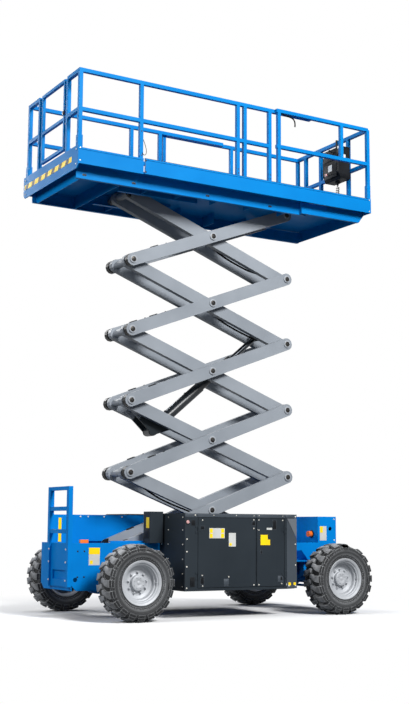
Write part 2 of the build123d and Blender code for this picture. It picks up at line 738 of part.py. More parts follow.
# The rod keeps 160 mm of guide at full lift and stays off the barrel's end when folded
rod_inside = 920
with BuildPart() as cylinder_rod:
    with BuildSketch(along_cylinder(barrel_length - rod_inside)):
        Circle(rod_radius)
    extrude(amount=cylinder_length - barrel_length + rod_inside)
    with BuildSketch(arm_plane(upper_eye, cylinder_angle, eye_half_width)):
        flat_sided(eye_radius, bore_flats)
    extrude(amount=2 * eye_half_width)
finish(cylinder_rod, "cylinder_rod")

# Platform: fixed deck on a frame with side channels, roller tracks and cross members
deck_half = 750
deck_bottom = floor_top - sheet
main_channel_y = 600
channel_thick = 40
extension_channel_y = 650
frame_high = deck_bottom
member_thick = 8
ear_width = arm_width - 6
top_track_depth = 50
slide_width = 30
full_members = (-1960, -1460)
side_members = (-1050, -600, -100, 400, 900)
with BuildPart() as platform_deck:
    with BuildSketch(Plane.XY.offset(deck_bottom)):
        with Locations(((deck_rear + deck_front) / 2, 0)):
            Rectangle(deck_front - deck_rear, 2 * deck_half)
        with Locations(((deck_rear + panel_seam - gap) / 2, 0)):
            Rectangle(panel_seam - gap - deck_rear, 2 * (fixed_panel_y - panel_thickness))
    extrude(amount=sheet)
    for side in (-1, 1):
        with BuildSketch(Plane.YZ.offset(deck_rear + 40)):
            with BuildLine():
                outer = side * (main_channel_y + channel_thick)
                inner = side * main_channel_y
                skin = side * member_thick
                Polyline((outer, frame_high), (outer, channel_z), (inner, channel_z), (inner, channel_z + 8),
                         (outer - skin, channel_z + 8), (outer - skin, frame_high), close=True)
            make_face()
        extrude(amount=deck_front - deck_rear - 60)
        with BuildSketch(Plane.YZ.offset(track_rear + 30)):
            with BuildLine():
                web = side * (top_track_y + top_track_depth)
                lip = side * top_track_y
                low = top_z - roller_radius - gap
                high = top_z + roller_radius + gap
                Polyline((web, frame_high), (web, low - 10), (lip, low - 10), (lip, low), (web - skin, low),
                         (web - skin, high), (lip, high), (lip, frame_high), close=True)
            make_face()
        extrude(amount=track_length - 60)
        with BuildSketch(Plane.XZ.offset(-side * (inner_face + 3))):
            with BuildLine():
                Polyline((base_x - 90, frame_high), (base_x - bracket_half, top_z), (base_x + bracket_half, top_z),
                         (base_x + bracket_half, frame_high), close=True)
            make_face()
            with Locations((base_x, top_z)):
                flat_sided(bracket_half)
                flat_bore(tube_radius + running)
        extrude(amount=-side * ear_width)
        for x in side_members:
            with BuildSketch(Plane.YZ.offset(x)):
                with Locations((side * (top_track_y + top_track_depth + main_channel_y + channel_thick) / 2,
                                (channel_z + 20 + frame_high) / 2)):
                    Rectangle(main_channel_y + channel_thick - top_track_y - top_track_depth,
                              frame_high - channel_z - 20)
            extrude(amount=member_thick)
    for x in full_members:
        with BuildSketch(Plane.YZ.offset(x)):
            with Locations((0, (channel_z + frame_high) / 2)):
                Rectangle(2 * (main_channel_y + channel_thick), frame_high - channel_z)
        extrude(amount=member_thick)
finish(platform_deck, "platform_deck")


def toe_profile(face_y, side):
    """Section of a toe board: a sheet with a groove under its top edge."""
    outer = side * face_y
    inner = side * (face_y - panel_thickness)
    groove = side * (face_y - 5)
    Polyline((inner, panel_bottom), (outer, panel_bottom), (outer, panel_top - 30), (groove, panel_top - 30),
             (groove, panel_top - 22), (outer, panel_top - 22), (outer, panel_top), (inner, panel_top), close=True)


# Fixed toe boards at the rear, and the taller end board under the gate
end_board_low = 4985
end_board_top = 5250
with BuildPart() as fixed_toe_boards:
    for side in (-1, 1):
        with BuildSketch(Plane.YZ.offset(deck_rear)) as section:
            with BuildLine():
                toe_profile(fixed_panel_y, side)
            make_face()
        extrude(amount=panel_seam - gap - deck_rear)
    with BuildSketch(Plane.YZ.offset(deck_rear - panel_thickness)):
        with BuildLine():
            Polyline((-fixed_panel_y, end_board_low + 40), (-fixed_panel_y + 40, end_board_low),
                     (fixed_panel_y - 40, end_board_low), (fixed_panel_y, end_board_low + 40),
                     (fixed_panel_y, end_board_top), (-fixed_panel_y, end_board_top), close=True)
        make_face()
    extrude(amount=panel_thickness)
finish(fixed_toe_boards, "fixed_toe_boards")

# Guard rails are square tube
rear_rail_x = deck_rear + 30
gate_half = 335
gate_post_y = 407
gate_size = 36
hinge_y = 356
hinge_radius = 13
hinge_pin = 7
hinge_ear = 12
hinge_height = 70
hinge_lows = (5480, 5920)
main_posts = {-1: (-1250, 80, 180, 545), 1: (-630, -210)}
main_tube_end = {-1: 1170, 1: 760}


def post(x, y, low, high, size=rail_size):
    """Fuse one upright square tube."""
    with BuildSketch(Plane.XY.offset(low)) as section:
        with Locations((x, y)):
            Rectangle(size, size)
    extrude(section.sketch, amount=high - low)


def rail_along_x(x_low, x_high, y, z, size=rail_size):
    """Fuse one square tube along X."""
    with BuildSketch(Plane.YZ.offset(x_low)) as section:
        with Locations((y, z)):
            Rectangle(size, size)
    extrude(section.sketch, amount=x_high - x_low)


def rail_along_y(x, y_low, y_high, z, size=rail_size):
    """Fuse one square tube along Y."""
    with BuildSketch(Plane.XZ.offset(-y_low)) as section:
        with Locations((x, z)):
            Rectangle(size, size)
    extrude(section.sketch, amount=-(y_high - y_low))


half_rail = rail_size / 2
with BuildPart() as platform_rails:
    for side in (-1, 1):
        y = side * main_rail_y
        rail_along_x(rear_rail_x - half_rail, main_tube_end[side], y, top_rail_z)
        rail_along_x(rear_rail_x - half_rail, main_posts[side][-1] + half_rail, y, mid_rail_z)
        for x in (rear_rail_x,) + main_posts[side]:
            post(x, y, floor_top, top_rail_z)
        post(rear_rail_x, side * gate_post_y, floor_top, top_rail_z)
        for z in (top_rail_z, mid_rail_z):
            low, high = sorted((side * gate_post_y, y))
            rail_along_y(rear_rail_x, low, high, z)
        post(rear_rail_x, y, floor_top, 5380, rail_size + 14)
    for z in hinge_lows:
        with BuildSketch(Plane.XY.offset(z - hinge_ear)):
            with Locations((rear_rail_x, (hinge_y + gate_post_y) / 2)):
                Rectangle(30, gate_post_y - hinge_y)
            with Locations((rear_rail_x, hinge_y)):
                flat_sided(15, knuckle_sides)
        extrude(amount=hinge_ear - seat)
        with BuildSketch(Plane.XY.offset(z - 1)):
            with Locations((rear_rail_x, hinge_y)):
                Circle(hinge_pin)
        extrude(amount=hinge_height - 4)
finish(platform_rails, "platform_rails")

with BuildPart() as entry_gate:
    for z in (top_rail_z, mid_rail_z, 5330):
        rail_along_y(rear_rail_x, -gate_half, gate_half, z, gate_size)
    for y in (-gate_half + gate_size / 2, gate_half - gate_size / 2):
        post(rear_rail_x, y, 5330 - gate_size / 2, top_rail_z, gate_size)
    for z in hinge_lows:
        with BuildSketch(Plane.XY.offset(z)):
            with Locations((rear_rail_x, hinge_y)):
                flat_sided(hinge_radius, knuckle_sides)
            with Locations((rear_rail_x, (hinge_y + gate_half) / 2)):
                Rectangle(16, hinge_y - gate_half)
        extrude(amount=hinge_height)
        with BuildSketch(Plane.XY.offset(z)):
            with Locations((rear_rail_x, hinge_y)):
                flat_bore(hinge_pin + running, Mode.ADD, knuckle_sides)
        extrude(amount=hinge_height - 4, mode=Mode.SUBTRACT)
finish(entry_gate, "entry_gate")

# Rolling extension: a bulkhead carries the side boards, the deck plate and the two slide channels
deck_gap = 6
extension_travel = 800
extension_deck_low = floor_top + deck_gap
extension_deck_rear = 930
wide_deck_rear = 1425
bulkhead = 25
with BuildPart() as extension_deck:
    with BuildSketch(Plane.XY.offset(extension_deck_low)):
        with Locations(((extension_deck_rear + extension_front - 2) / 2, 0)):
            Rectangle(extension_front - 2 - extension_deck_rear, 2 * 690)
        with Locations(((wide_deck_rear + extension_front - 2) / 2, 0)):
            Rectangle(extension_front - 2 - wide_deck_rear, 2 * (panel_y - panel_thickness + 1))
    extrude(amount=sheet)
    for side in (-1, 1):
        with BuildSketch(Plane.YZ.offset(panel_seam)):
            with BuildLine():
                toe_profile(panel_y, side)
            make_face()
        extrude(amount=extension_front - panel_seam)
        with BuildSketch(Plane.XZ.offset(-side * (extension_channel_y + channel_thick / 2))):
            with BuildLine():
                Polyline((1060, channel_z + 10), (extension_front - 110, channel_z + 10),
                         (extension_front - 10, panel_bottom + 10), (extension_front - 10, deck_bottom - gap),
                         (1060, deck_bottom - gap), close=True)
            make_face()
        extrude(amount=channel_thick / 2, both=True)
        pad_inner = main_channel_y + channel_thick + seat
        with BuildSketch(Plane.XY.offset(channel_z + 50)):
            with Locations((1110, side * (pad_inner + extension_channel_y + 1) / 2)):
                Rectangle(80, extension_channel_y + 1 - pad_inner)
        extrude(amount=80)
        with BuildSketch(Plane.XY.offset(floor_top + seat)):
            with Locations((extension_deck_rear + 40, side * 500)):
                Rectangle(60, 200)
        extrude(amount=deck_gap - seat + 1)
    with BuildSketch(Plane.YZ.offset(extension_front - bulkhead)):
        with Locations((0, (panel_bottom + panel_top) / 2)):
            Rectangle(2 * (panel_y - 1), panel_top - panel_bottom)
    extrude(amount=bulkhead)
    with BuildSketch(Plane.YZ.offset(deck_front + extension_travel + gap)):
        with Locations((0, (channel_z + 30 + extension_deck_low) / 2)):
            Rectangle(2 * (extension_channel_y + channel_thick / 2), extension_deck_low - channel_z - 28)
    extrude(amount=member_thick)
finish(extension_deck, "extension_deck")

extension_posts = {-1: (650,), 1: (-120, 930)}
extension_tube_start = {-1: 615, 1: -155}
front_rail_x = extension_front - half_rail
front_posts = (-380, 230, 580)
with BuildPart() as extension_rails:
    for side in (-1, 1):
        y = side * extension_rail_y
        for z in (top_rail_z, mid_rail_z):
            rail_along_x(extension_tube_start[side], front_rail_x, y, z)
        for x in extension_posts[side]:
            post(x, y, panel_bottom + 20, top_rail_z)
        post(front_rail_x, y, panel_top, top_rail_z)
        post(front_rail_x - 4, y, panel_top, 5400, rail_size + 8)
    post(1620, -extension_rail_y, mid_rail_z, top_rail_z)
    for z in (top_rail_z, mid_rail_z):
        rail_along_y(front_rail_x, -extension_rail_y, extension_rail_y, z)
    for y in front_posts:
        post(front_rail_x, y, panel_top, top_rail_z)
finish(extension_rails, "extension_rails")

# Platform controls hang inside the front rail, with a curly cord down to the deck
control_x = front_rail_x - half_rail - 1
control_low = 5570
control_high = 6010
cord_x = control_x - 75
cord_y = -270
cord_top = 5545
cord_foot = 5125
with BuildPart() as platform_control_box:
    with BuildSketch(Plane.XZ.offset(100)):
        with BuildLine():
            Polyline((control_x, control_low), (control_x - 150, control_low), (control_x - 190, control_low + 90),
                     (control_x - 190, control_high - 110), (control_x - 110, control_high),
                     (control_x, control_high), close=True)
        make_face()
    extrude(amount=340)
    fillet(edges().filter_by(Axis.Y).sort_by(Axis.X)[:3], radius=16)
    with BuildSketch(Plane.XZ.offset(150)):
        with Locations((control_x - 5, (control_high + top_rail_z + half_rail + 10) / 2)):
            Rectangle(10, top_rail_z + half_rail + 14 - control_high)
        with Locations((front_rail_x - 8, top_rail_z + half_rail + 5)):
            Rectangle(rail_size + 16, 10)
    with BuildSketch(Plane.XY.offset(cord_top)):
        with Locations((cord_x, cord_y)):
            flat_sided(32, bore_flats)
    extrude(amount=control_low + 1 - cord_top)
    with BuildSketch(Plane.XY.offset(extension_deck_low + sheet)):
        with Locations((cord_x, cord_y)):
            flat_sided(36, bore_flats)
    extrude(amount=cord_foot - extension_deck_low - sheet)
finish(platform_control_box, "platform_control_box")

# Curly cord, as one tube of its outer diameter
cord_radius = 26
cord_sway = 12
cord_route = ((cord_x, cord_y, cord_top), (cord_x, cord_y, 5450), (cord_x - cord_sway, cord_y, 5335),
              (cord_x, cord_y, 5220), (cord_x, cord_y, cord_foot))
cord_bends = (400, 400, 400)
with BuildPart() as control_cord:
    with BuildLine():
        FilletPolyline(*cord_route, radius=cord_bends[0])
    with BuildSketch(Plane(origin=cord_route[0], z_dir=(0, 0, -1))):
        flat_sided(cord_radius)
    sweep()
print("control cord bend radii", cord_bends)
finish(control_cord, "control_cord")
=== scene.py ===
import bmesh
import bpy
import json
from math import cos, pi, radians, sin
from mathutils import Matrix, Vector


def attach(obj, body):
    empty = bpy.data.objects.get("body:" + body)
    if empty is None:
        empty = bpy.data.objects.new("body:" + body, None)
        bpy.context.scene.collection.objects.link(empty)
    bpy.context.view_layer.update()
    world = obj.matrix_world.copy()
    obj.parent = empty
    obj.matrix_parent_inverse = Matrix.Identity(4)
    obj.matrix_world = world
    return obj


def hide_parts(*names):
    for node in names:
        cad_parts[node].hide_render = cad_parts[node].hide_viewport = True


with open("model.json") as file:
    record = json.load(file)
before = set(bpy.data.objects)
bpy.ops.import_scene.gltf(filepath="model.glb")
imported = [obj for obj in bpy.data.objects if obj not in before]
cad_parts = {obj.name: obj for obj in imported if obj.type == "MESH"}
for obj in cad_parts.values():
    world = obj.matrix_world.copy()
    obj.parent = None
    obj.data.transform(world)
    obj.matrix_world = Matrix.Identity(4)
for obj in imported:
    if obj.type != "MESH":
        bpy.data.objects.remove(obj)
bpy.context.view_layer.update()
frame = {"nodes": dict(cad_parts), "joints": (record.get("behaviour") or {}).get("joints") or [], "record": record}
nodes = frame["nodes"]
jointAt = {j["name"]: Vector(j["pos_m"]) for j in frame["joints"] if "pos_m" in j}
print("frame loaded,", len(nodes), "nodes")

cameraSetup = {"place": (-7.4421, -12.5989, 1.0237), "yaw": 30.78, "pitch": 8.30, "roll": 0.34,
               "lens": 61.04, "sensor": 36}
cameraData = bpy.data.cameras.new("studioCamera")
cameraData.sensor_fit = "AUTO"
cameraData.sensor_width = cameraSetup["sensor"]
cameraData.lens = cameraSetup["lens"]
camera = bpy.data.objects.new("studioCamera", cameraData)
camera.matrix_world = (Matrix.Translation(cameraSetup["place"])
                       @ Matrix.Rotation(-radians(cameraSetup["yaw"]), 4, "Z")
                       @ Matrix.Rotation(radians(90 + cameraSetup["pitch"]), 4, "X")
                       @ Matrix.Rotation(radians(cameraSetup["roll"]), 4, "Z"))
bpy.context.scene.collection.objects.link(camera)
bpy.context.scene.camera = camera
bpy.context.scene.view_settings.view_transform = "Standard"

lamps = [
    {"name": "keySoftbox", "place": (1.0, -13.5, 10.4), "aim": (0.0, 0.0, 3.2), "size": 4.0, "watts": 3200},
    {"name": "rearSoftbox", "place": (-11.0, -2.0, 6.0), "aim": (0.0, 0.0, 2.6), "size": 4.0, "watts": 580},
    {"name": "topSoftbox", "place": (0.5, 1.5, 12.0), "aim": (0.0, 0.0, 2.0), "size": 5.0, "watts": 350},
    {"name": "farSoftbox", "place": (-3.0, 12.5, 9.0), "aim": (0.0, 0.0, 2.6), "size": 4.0, "watts": 950},
]
for lamp in lamps:
    light = bpy.data.lights.new(lamp["name"], "AREA")
    light.shape = "SQUARE"
    light.size = lamp["size"]
    light.energy = lamp["watts"]
    holder = bpy.data.objects.new(lamp["name"], light)
    holder.location = lamp["place"]
    holder.rotation_euler = (Vector(lamp["aim"]) - Vector(lamp["place"])).to_track_quat("-Z", "Y").to_euler()
    bpy.context.scene.collection.objects.link(holder)


def toLinear(colour):                                   # sRGB hex to linear RGBA
    channels = [int(colour[i:i + 2], 16) / 255 for i in (1, 3, 5)]
    return [c / 12.92 if c <= 0.04045 else ((c + 0.055) / 1.055) ** 2.4 for c in channels] + [1.0]


def addNode(tree, kind, inputs=None, **settings):       # an input is a value or another node's socket
    node = tree.nodes.new(kind)
    for key, value in settings.items():
        setattr(node, key, value)
    for key, value in (inputs or {}).items():
        socket = node.inputs[key]
        if isinstance(value, bpy.types.NodeSocket):
            tree.links.new(value, socket)
        else:
            socket.default_value = value
    return node


def blendColour(tree, factor, first, second):           # between two hex values or sockets
    sides = [toLinear(c) if isinstance(c, str) else c for c in (first, second)]
    return addNode(tree, "ShaderNodeMix", {0: factor, 6: sides[0], 7: sides[1]}, data_type="RGBA").outputs[2]


def rayMask(tree):                                      # 1 if seen straight, mirrored or through glass
    ray = addNode(tree, "ShaderNodeLightPath")
    seen = addNode(tree, "ShaderNodeMath", {0: ray.outputs["Is Camera Ray"], 1: ray.outputs["Is Glossy Ray"]},
                   operation="MAXIMUM")
    return addNode(tree, "ShaderNodeMath", {0: seen.outputs[0], 1: ray.outputs["Is Transmission Ray"]},
                   operation="MAXIMUM").outputs[0]


def makeWorld(spec):
    world = bpy.data.worlds.new("studioWorld")
    world.use_nodes = True
    tree = world.node_tree
    tree.nodes.clear()
    glow = addNode(tree, "ShaderNodeBackground", {"Color": toLinear(spec["light"]),
                                                  "Strength": spec["strength"]})
    white = addNode(tree, "ShaderNodeBackground", {"Color": toLinear("#FFFFFF"), "Strength": 1.0})
    mixed = addNode(tree, "ShaderNodeMixShader", {0: rayMask(tree), 1: glow.outputs[0], 2: white.outputs[0]})
    addNode(tree, "ShaderNodeOutputWorld", {"Surface": mixed.outputs[0]})
    bpy.context.scene.world = world


def makeFloor(spec):                                    # pale under the machine, white further out
    shape = bmesh.new()
    bmesh.ops.create_circle(shape, cap_ends=True, radius=spec["radius"], segments=spec["sides"])
    mesh = bpy.data.meshes.new("studioFloor")
    shape.to_mesh(mesh)
    shape.free()
    floor = bpy.data.objects.new("studioFloor", mesh)
    bpy.context.scene.collection.objects.link(floor)
    material = bpy.data.materials.new("studioFloor")
    material.use_nodes = True
    tree = material.node_tree
    tree.nodes.clear()
    place = addNode(tree, "ShaderNodeTexCoord").outputs["Object"]
    away = addNode(tree, "ShaderNodeVectorMath", {0: place}, operation="LENGTH").outputs["Value"]
    fade = addNode(tree, "ShaderNodeMapRange",
                   {"Value": away, "From Min": spec["clear"], "From Max": spec["white"]},
                   interpolation_type="SMOOTHSTEP").outputs[0]
    part = addNode(tree, "ShaderNodeMath", {0: fade, 1: rayMask(tree)}, operation="MULTIPLY").outputs[0]
    tone = blendColour(tree, rayMask(tree), spec["bounce"], spec["colour"])
    lit = addNode(tree, "ShaderNodeBsdfDiffuse", {"Color": tone})
    glow = addNode(tree, "ShaderNodeEmission", {"Color": toLinear("#FFFFFF"), "Strength": 1.0})
    mixed = addNode(tree, "ShaderNodeMixShader", {0: part, 1: lit.outputs[0], 2: glow.outputs[0]})
    addNode(tree, "ShaderNodeOutputMaterial", {"Surface": mixed.outputs[0]})
    mesh.materials.append(material)


makeWorld({"light": "#EEF4FF", "strength": 0.20})
makeFloor({"radius": 60.0, "sides": 96, "clear": 2.2, "white": 4.6, "colour": "#F4F4F4", "bounce": "#55595F"})
print("camera, lamps and floor are set")


def surface(name):                                      # material, its tree, its shader, Object coordinates
    material = bpy.data.materials.new(name)
    material.use_nodes = True
    tree = material.node_tree
    shader = tree.nodes["Principled BSDF"]
    return material, tree, shader, addNode(tree, "ShaderNodeTexCoord").outputs["Object"]


def join(tree, source, shader, socket):
    tree.links.new(source, shader.inputs[socket])


def noiseBand(tree, coords, scale, low, high):          # cloudy pattern, stretched between two levels
    noise = addNode(tree, "ShaderNodeTexNoise", {"Vector": coords, "Scale": scale, "Detail": 3.0}).outputs[0]
    return addNode(tree, "ShaderNodeMapRange", {"Value": noise, "From Min": low, "From Max": high}).outputs[0]


def softEdges(tree, millimetres):                       # rounded normal, and how near a point is to an edge
    bevel = addNode(tree, "ShaderNodeBevel", {"Radius": millimetres / 1000}, samples=4).outputs[0]
    flat = addNode(tree, "ShaderNodeNewGeometry").outputs["True Normal"]
    along = addNode(tree, "ShaderNodeVectorMath", {0: bevel, 1: flat}, operation="DOT_PRODUCT")
    near = addNode(tree, "ShaderNodeMapRange", {"Value": along.outputs["Value"], "From Min": 0.995,
                                                "From Max": 0.93})
    return bevel, near.outputs[0]


def blackMarks(tree, coords, colour, sleeves, bracket): # black parts welded to the grey arms
    parts = addNode(tree, "ShaderNodeSeparateXYZ", {0: coords}).outputs
    across = addNode(tree, "ShaderNodeMath", {0: parts["Y"]}, operation="ABSOLUTE").outputs[0]
    inside = addNode(tree, "ShaderNodeMath", {0: parts["X"], 1: sleeves["before"]}, operation="LESS_THAN")
    for way, limit in (("GREATER_THAN", sleeves["from"]), ("LESS_THAN", sleeves["to"])):
        within = addNode(tree, "ShaderNodeMath", {0: across, 1: limit}, operation=way)
        inside = addNode(tree, "ShaderNodeMath", {0: inside.outputs[0], 1: within.outputs[0]},
                         operation="MULTIPLY")
    colour = blendColour(tree, inside.outputs[0], colour, sleeves["colour"])
    gap = addNode(tree, "ShaderNodeVectorMath", {0: coords, 1: bracket["pin"]}, operation="SUBTRACT")
    flat = addNode(tree, "ShaderNodeVectorMath", {0: gap.outputs[0], 1: (1.0, 0.0, 1.0)},
                   operation="MULTIPLY")
    reach = addNode(tree, "ShaderNodeVectorMath", {0: flat.outputs[0]}, operation="LENGTH").outputs["Value"]
    near = addNode(tree, "ShaderNodeMath", {0: reach, 1: bracket["radius"]}, operation="LESS_THAN")
    slim = addNode(tree, "ShaderNodeMath", {0: across, 1: bracket["half"]}, operation="LESS_THAN")
    inside = addNode(tree, "ShaderNodeMath", {0: near.outputs[0], 1: slim.outputs[0]}, operation="MULTIPLY")
    return blendColour(tree, inside.outputs[0], colour, bracket["colour"])


# in the specs below, cloud, rain, chips, dusting and film are patches to the metre, and sizes in Mm are
# millimetres; peel, grain and marks are drawn coarser than the real ones, because those are too fine to show
def paintedSteel(name, spec):                           # sprayed coat: orange peel, dust, edges rubbed paler
    spec = {"edgeMm": 3, "cloud": 1.6, "rain": 2.2, "streaks": 0.25, "chips": 38.0, "wear": 0.5,
            "duller": 0.14, "peelMm": 6, "peel": 0.05, "metal": 0.0, "gloss": 0.22, **spec}
    material, tree, shader, coords = surface(name)
    normal, edge = softEdges(tree, spec["edgeMm"])
    cloud = noiseBand(tree, coords, spec["cloud"], low=0.35, high=0.7)
    colour = blendColour(tree, cloud, spec["colour"], spec["dusty"])
    streak = addNode(tree, "ShaderNodeMapping", {"Vector": coords, "Scale": (9.0, 9.0, 0.8)}).outputs[0]
    rain = noiseBand(tree, streak, spec["rain"], low=0.56, high=0.8)
    rain = addNode(tree, "ShaderNodeMath", {0: rain, 1: spec["streaks"]}, operation="MULTIPLY").outputs[0]
    colour = blendColour(tree, rain, colour, spec["dusty"])
    chips = noiseBand(tree, coords, spec["chips"], low=0.50, high=0.62)
    worn = addNode(tree, "ShaderNodeMath", {0: edge, 1: chips}, operation="MULTIPLY").outputs[0]
    worn = addNode(tree, "ShaderNodeMath", {0: worn, 1: spec["wear"]}, operation="MULTIPLY").outputs[0]
    colour = blendColour(tree, worn, colour, spec["edge"])
    if "below" in spec:                                 # painted shade: undersides are painted darker
        facing = addNode(tree, "ShaderNodeTexCoord").outputs["Normal"]
        facing = addNode(tree, "ShaderNodeSeparateXYZ", {0: facing}).outputs["Z"]
        under = addNode(tree, "ShaderNodeMapRange", {"Value": facing, "From Min": -0.3, "From Max": -0.8})
        colour = blendColour(tree, under.outputs[0], colour, spec["below"])
    if "sleeves" in spec:
        colour = blackMarks(tree, coords, colour, spec["sleeves"], spec["bracket"])
    join(tree, colour, shader, "Base Color")
    rough = addNode(tree, "ShaderNodeMapRange", {"Value": cloud, "To Min": spec["rough"],
                                                 "To Max": spec["rough"] + spec["duller"]})
    join(tree, rough.outputs[0], shader, "Roughness")
    peel = addNode(tree, "ShaderNodeTexNoise", {"Vector": coords, "Scale": 1000 / spec["peelMm"],
                                                "Detail": 1.0})
    bump = addNode(tree, "ShaderNodeBump", {"Height": peel.outputs[0], "Strength": spec["peel"],
                                            "Distance": 0.002, "Normal": normal})
    join(tree, bump.outputs[0], shader, "Normal")
    shader.inputs["Metallic"].default_value = spec["metal"]
    shader.inputs["Specular IOR Level"].default_value = spec["gloss"]
    return material


def mouldedPlastic(name, spec):                         # injection moulding with a fine spark-eroded grain
    spec = {"edgeMm": 2, "cloud": 5.0, "grainMm": 3, "grain": 0.12, "gloss": 0.3, "coat": 0.0, **spec}
    material, tree, shader, coords = surface(name)
    normal, edge = softEdges(tree, spec["edgeMm"])
    cloud = noiseBand(tree, coords, spec["cloud"], low=0.35, high=0.7)
    colour = blendColour(tree, cloud, spec["colour"], spec["dusty"])
    join(tree, blendColour(tree, edge, colour, spec["edge"]), shader, "Base Color")
    grain = addNode(tree, "ShaderNodeTexVoronoi", {"Vector": coords, "Scale": 1000 / spec["grainMm"]})
    bump = addNode(tree, "ShaderNodeBump", {"Height": grain.outputs[0], "Strength": spec["grain"],
                                            "Distance": 0.001, "Normal": normal})
    join(tree, bump.outputs[0], shader, "Normal")
    shader.inputs["Roughness"].default_value = spec["rough"]
    shader.inputs["Specular IOR Level"].default_value = spec["gloss"]
    shader.inputs["Coat Weight"].default_value = spec["coat"]
    return material


def bareMetal(name, spec):                              # zinc-plated or burnished, with fine turning marks
    spec = {"edgeMm": 1.5, "cloud": 20.0, "marksMm": 2.5, "marks": 0.1, "metal": 1.0, **spec}
    material, tree, shader, coords = surface(name)
    normal = softEdges(tree, spec["edgeMm"])[0]
    cloud = noiseBand(tree, coords, spec["cloud"], low=0.3, high=0.7)
    join(tree, blendColour(tree, cloud, spec["colour"], spec["dusty"]), shader, "Base Color")
    marks = addNode(tree, "ShaderNodeTexNoise", {"Vector": coords, "Scale": 1000 / spec["marksMm"],
                                                 "Detail": 2.0})
    bump = addNode(tree, "ShaderNodeBump", {"Height": marks.outputs[0], "Strength": spec["marks"],
                                            "Distance": 0.0005, "Normal": normal})
    join(tree, bump.outputs[0], shader, "Normal")
    shader.inputs["Metallic"].default_value = spec["metal"]
    shader.inputs["Roughness"].default_value = spec["rough"]
    return material


def tyreRubber(name, centre, spec):                     # vulcanised: dark between the lugs, lug tops paler with dust and a painted highlight, edges painted pale as a painted highlight
    material, tree, shader, coords = surface(name)
    normal, edge = softEdges(tree, spec["edgeMm"])
    hub = addNode(tree, "ShaderNodeMapping", {"Vector": coords, "Location": tuple(-c for c in centre)})
    flat = addNode(tree, "ShaderNodeVectorMath", {0: hub.outputs[0], 1: (1.0, 0.0, 1.0)},
                   operation="MULTIPLY").outputs[0]
    outward = addNode(tree, "ShaderNodeVectorMath", {0: flat}, operation="LENGTH").outputs["Value"]
    tread = addNode(tree, "ShaderNodeMapRange", {"Value": outward, "From Min": spec["treadFrom"],
                                                 "From Max": spec["treadTo"]}).outputs[0]
    dust = noiseBand(tree, coords, spec["dusting"], low=0.2, high=0.55)
    dustAndHighlight = addNode(tree, "ShaderNodeMath", {0: tread, 1: dust}, operation="MULTIPLY").outputs[0]
    film = noiseBand(tree, coords, spec["film"], low=0.45, high=0.75)
    wall = blendColour(tree, film, spec["colour"], spec["wall"])
    colour = blendColour(tree, dustAndHighlight, wall, spec["dusty"])
    # the edges are painted pale all round: a painted highlight on the lugs
    join(tree, blendColour(tree, edge, colour, spec["edge"]), shader, "Base Color")
    grain = addNode(tree, "ShaderNodeTexNoise", {"Vector": coords, "Scale": 1000 / spec["grainMm"],
                                                 "Detail": 3.0})
    bump = addNode(tree, "ShaderNodeBump", {"Height": grain.outputs[0], "Strength": spec["grain"],
                                            "Distance": 0.002, "Normal": normal})
    join(tree, bump.outputs[0], shader, "Normal")
    shader.inputs["Roughness"].default_value = spec["rough"]
    shader.inputs["Specular IOR Level"].default_value = spec["gloss"]
    return material


def hazardTape(name, spec):                             # reflective tape with slanted stripes
    material, tree, shader, coords = surface(name)
    parts = addNode(tree, "ShaderNodeSeparateXYZ", {0: coords}).outputs
    lean = addNode(tree, "ShaderNodeMath", {0: parts["Z"], 1: spec["lean"]}, operation="MULTIPLY").outputs[0]
    slant = addNode(tree, "ShaderNodeMath", {0: parts["Y"], 1: lean}, operation="ADD").outputs[0]
    wave = addNode(tree, "ShaderNodeMath", {0: slant, 1: spec["stripe"]}, operation="DIVIDE").outputs[0]
    wave = addNode(tree, "ShaderNodeMath", {0: wave}, operation="FRACT").outputs[0]
    dark = addNode(tree, "ShaderNodeMath", {0: wave, 1: spec["pale"]}, operation="GREATER_THAN").outputs[0]
    join(tree, blendColour(tree, dark, spec["yellow"], spec["black"]), shader, "Base Color")
    shader.inputs["Roughness"].default_value = spec["rough"]
    shader.inputs["Specular IOR Level"].default_value = spec["gloss"]
    return material


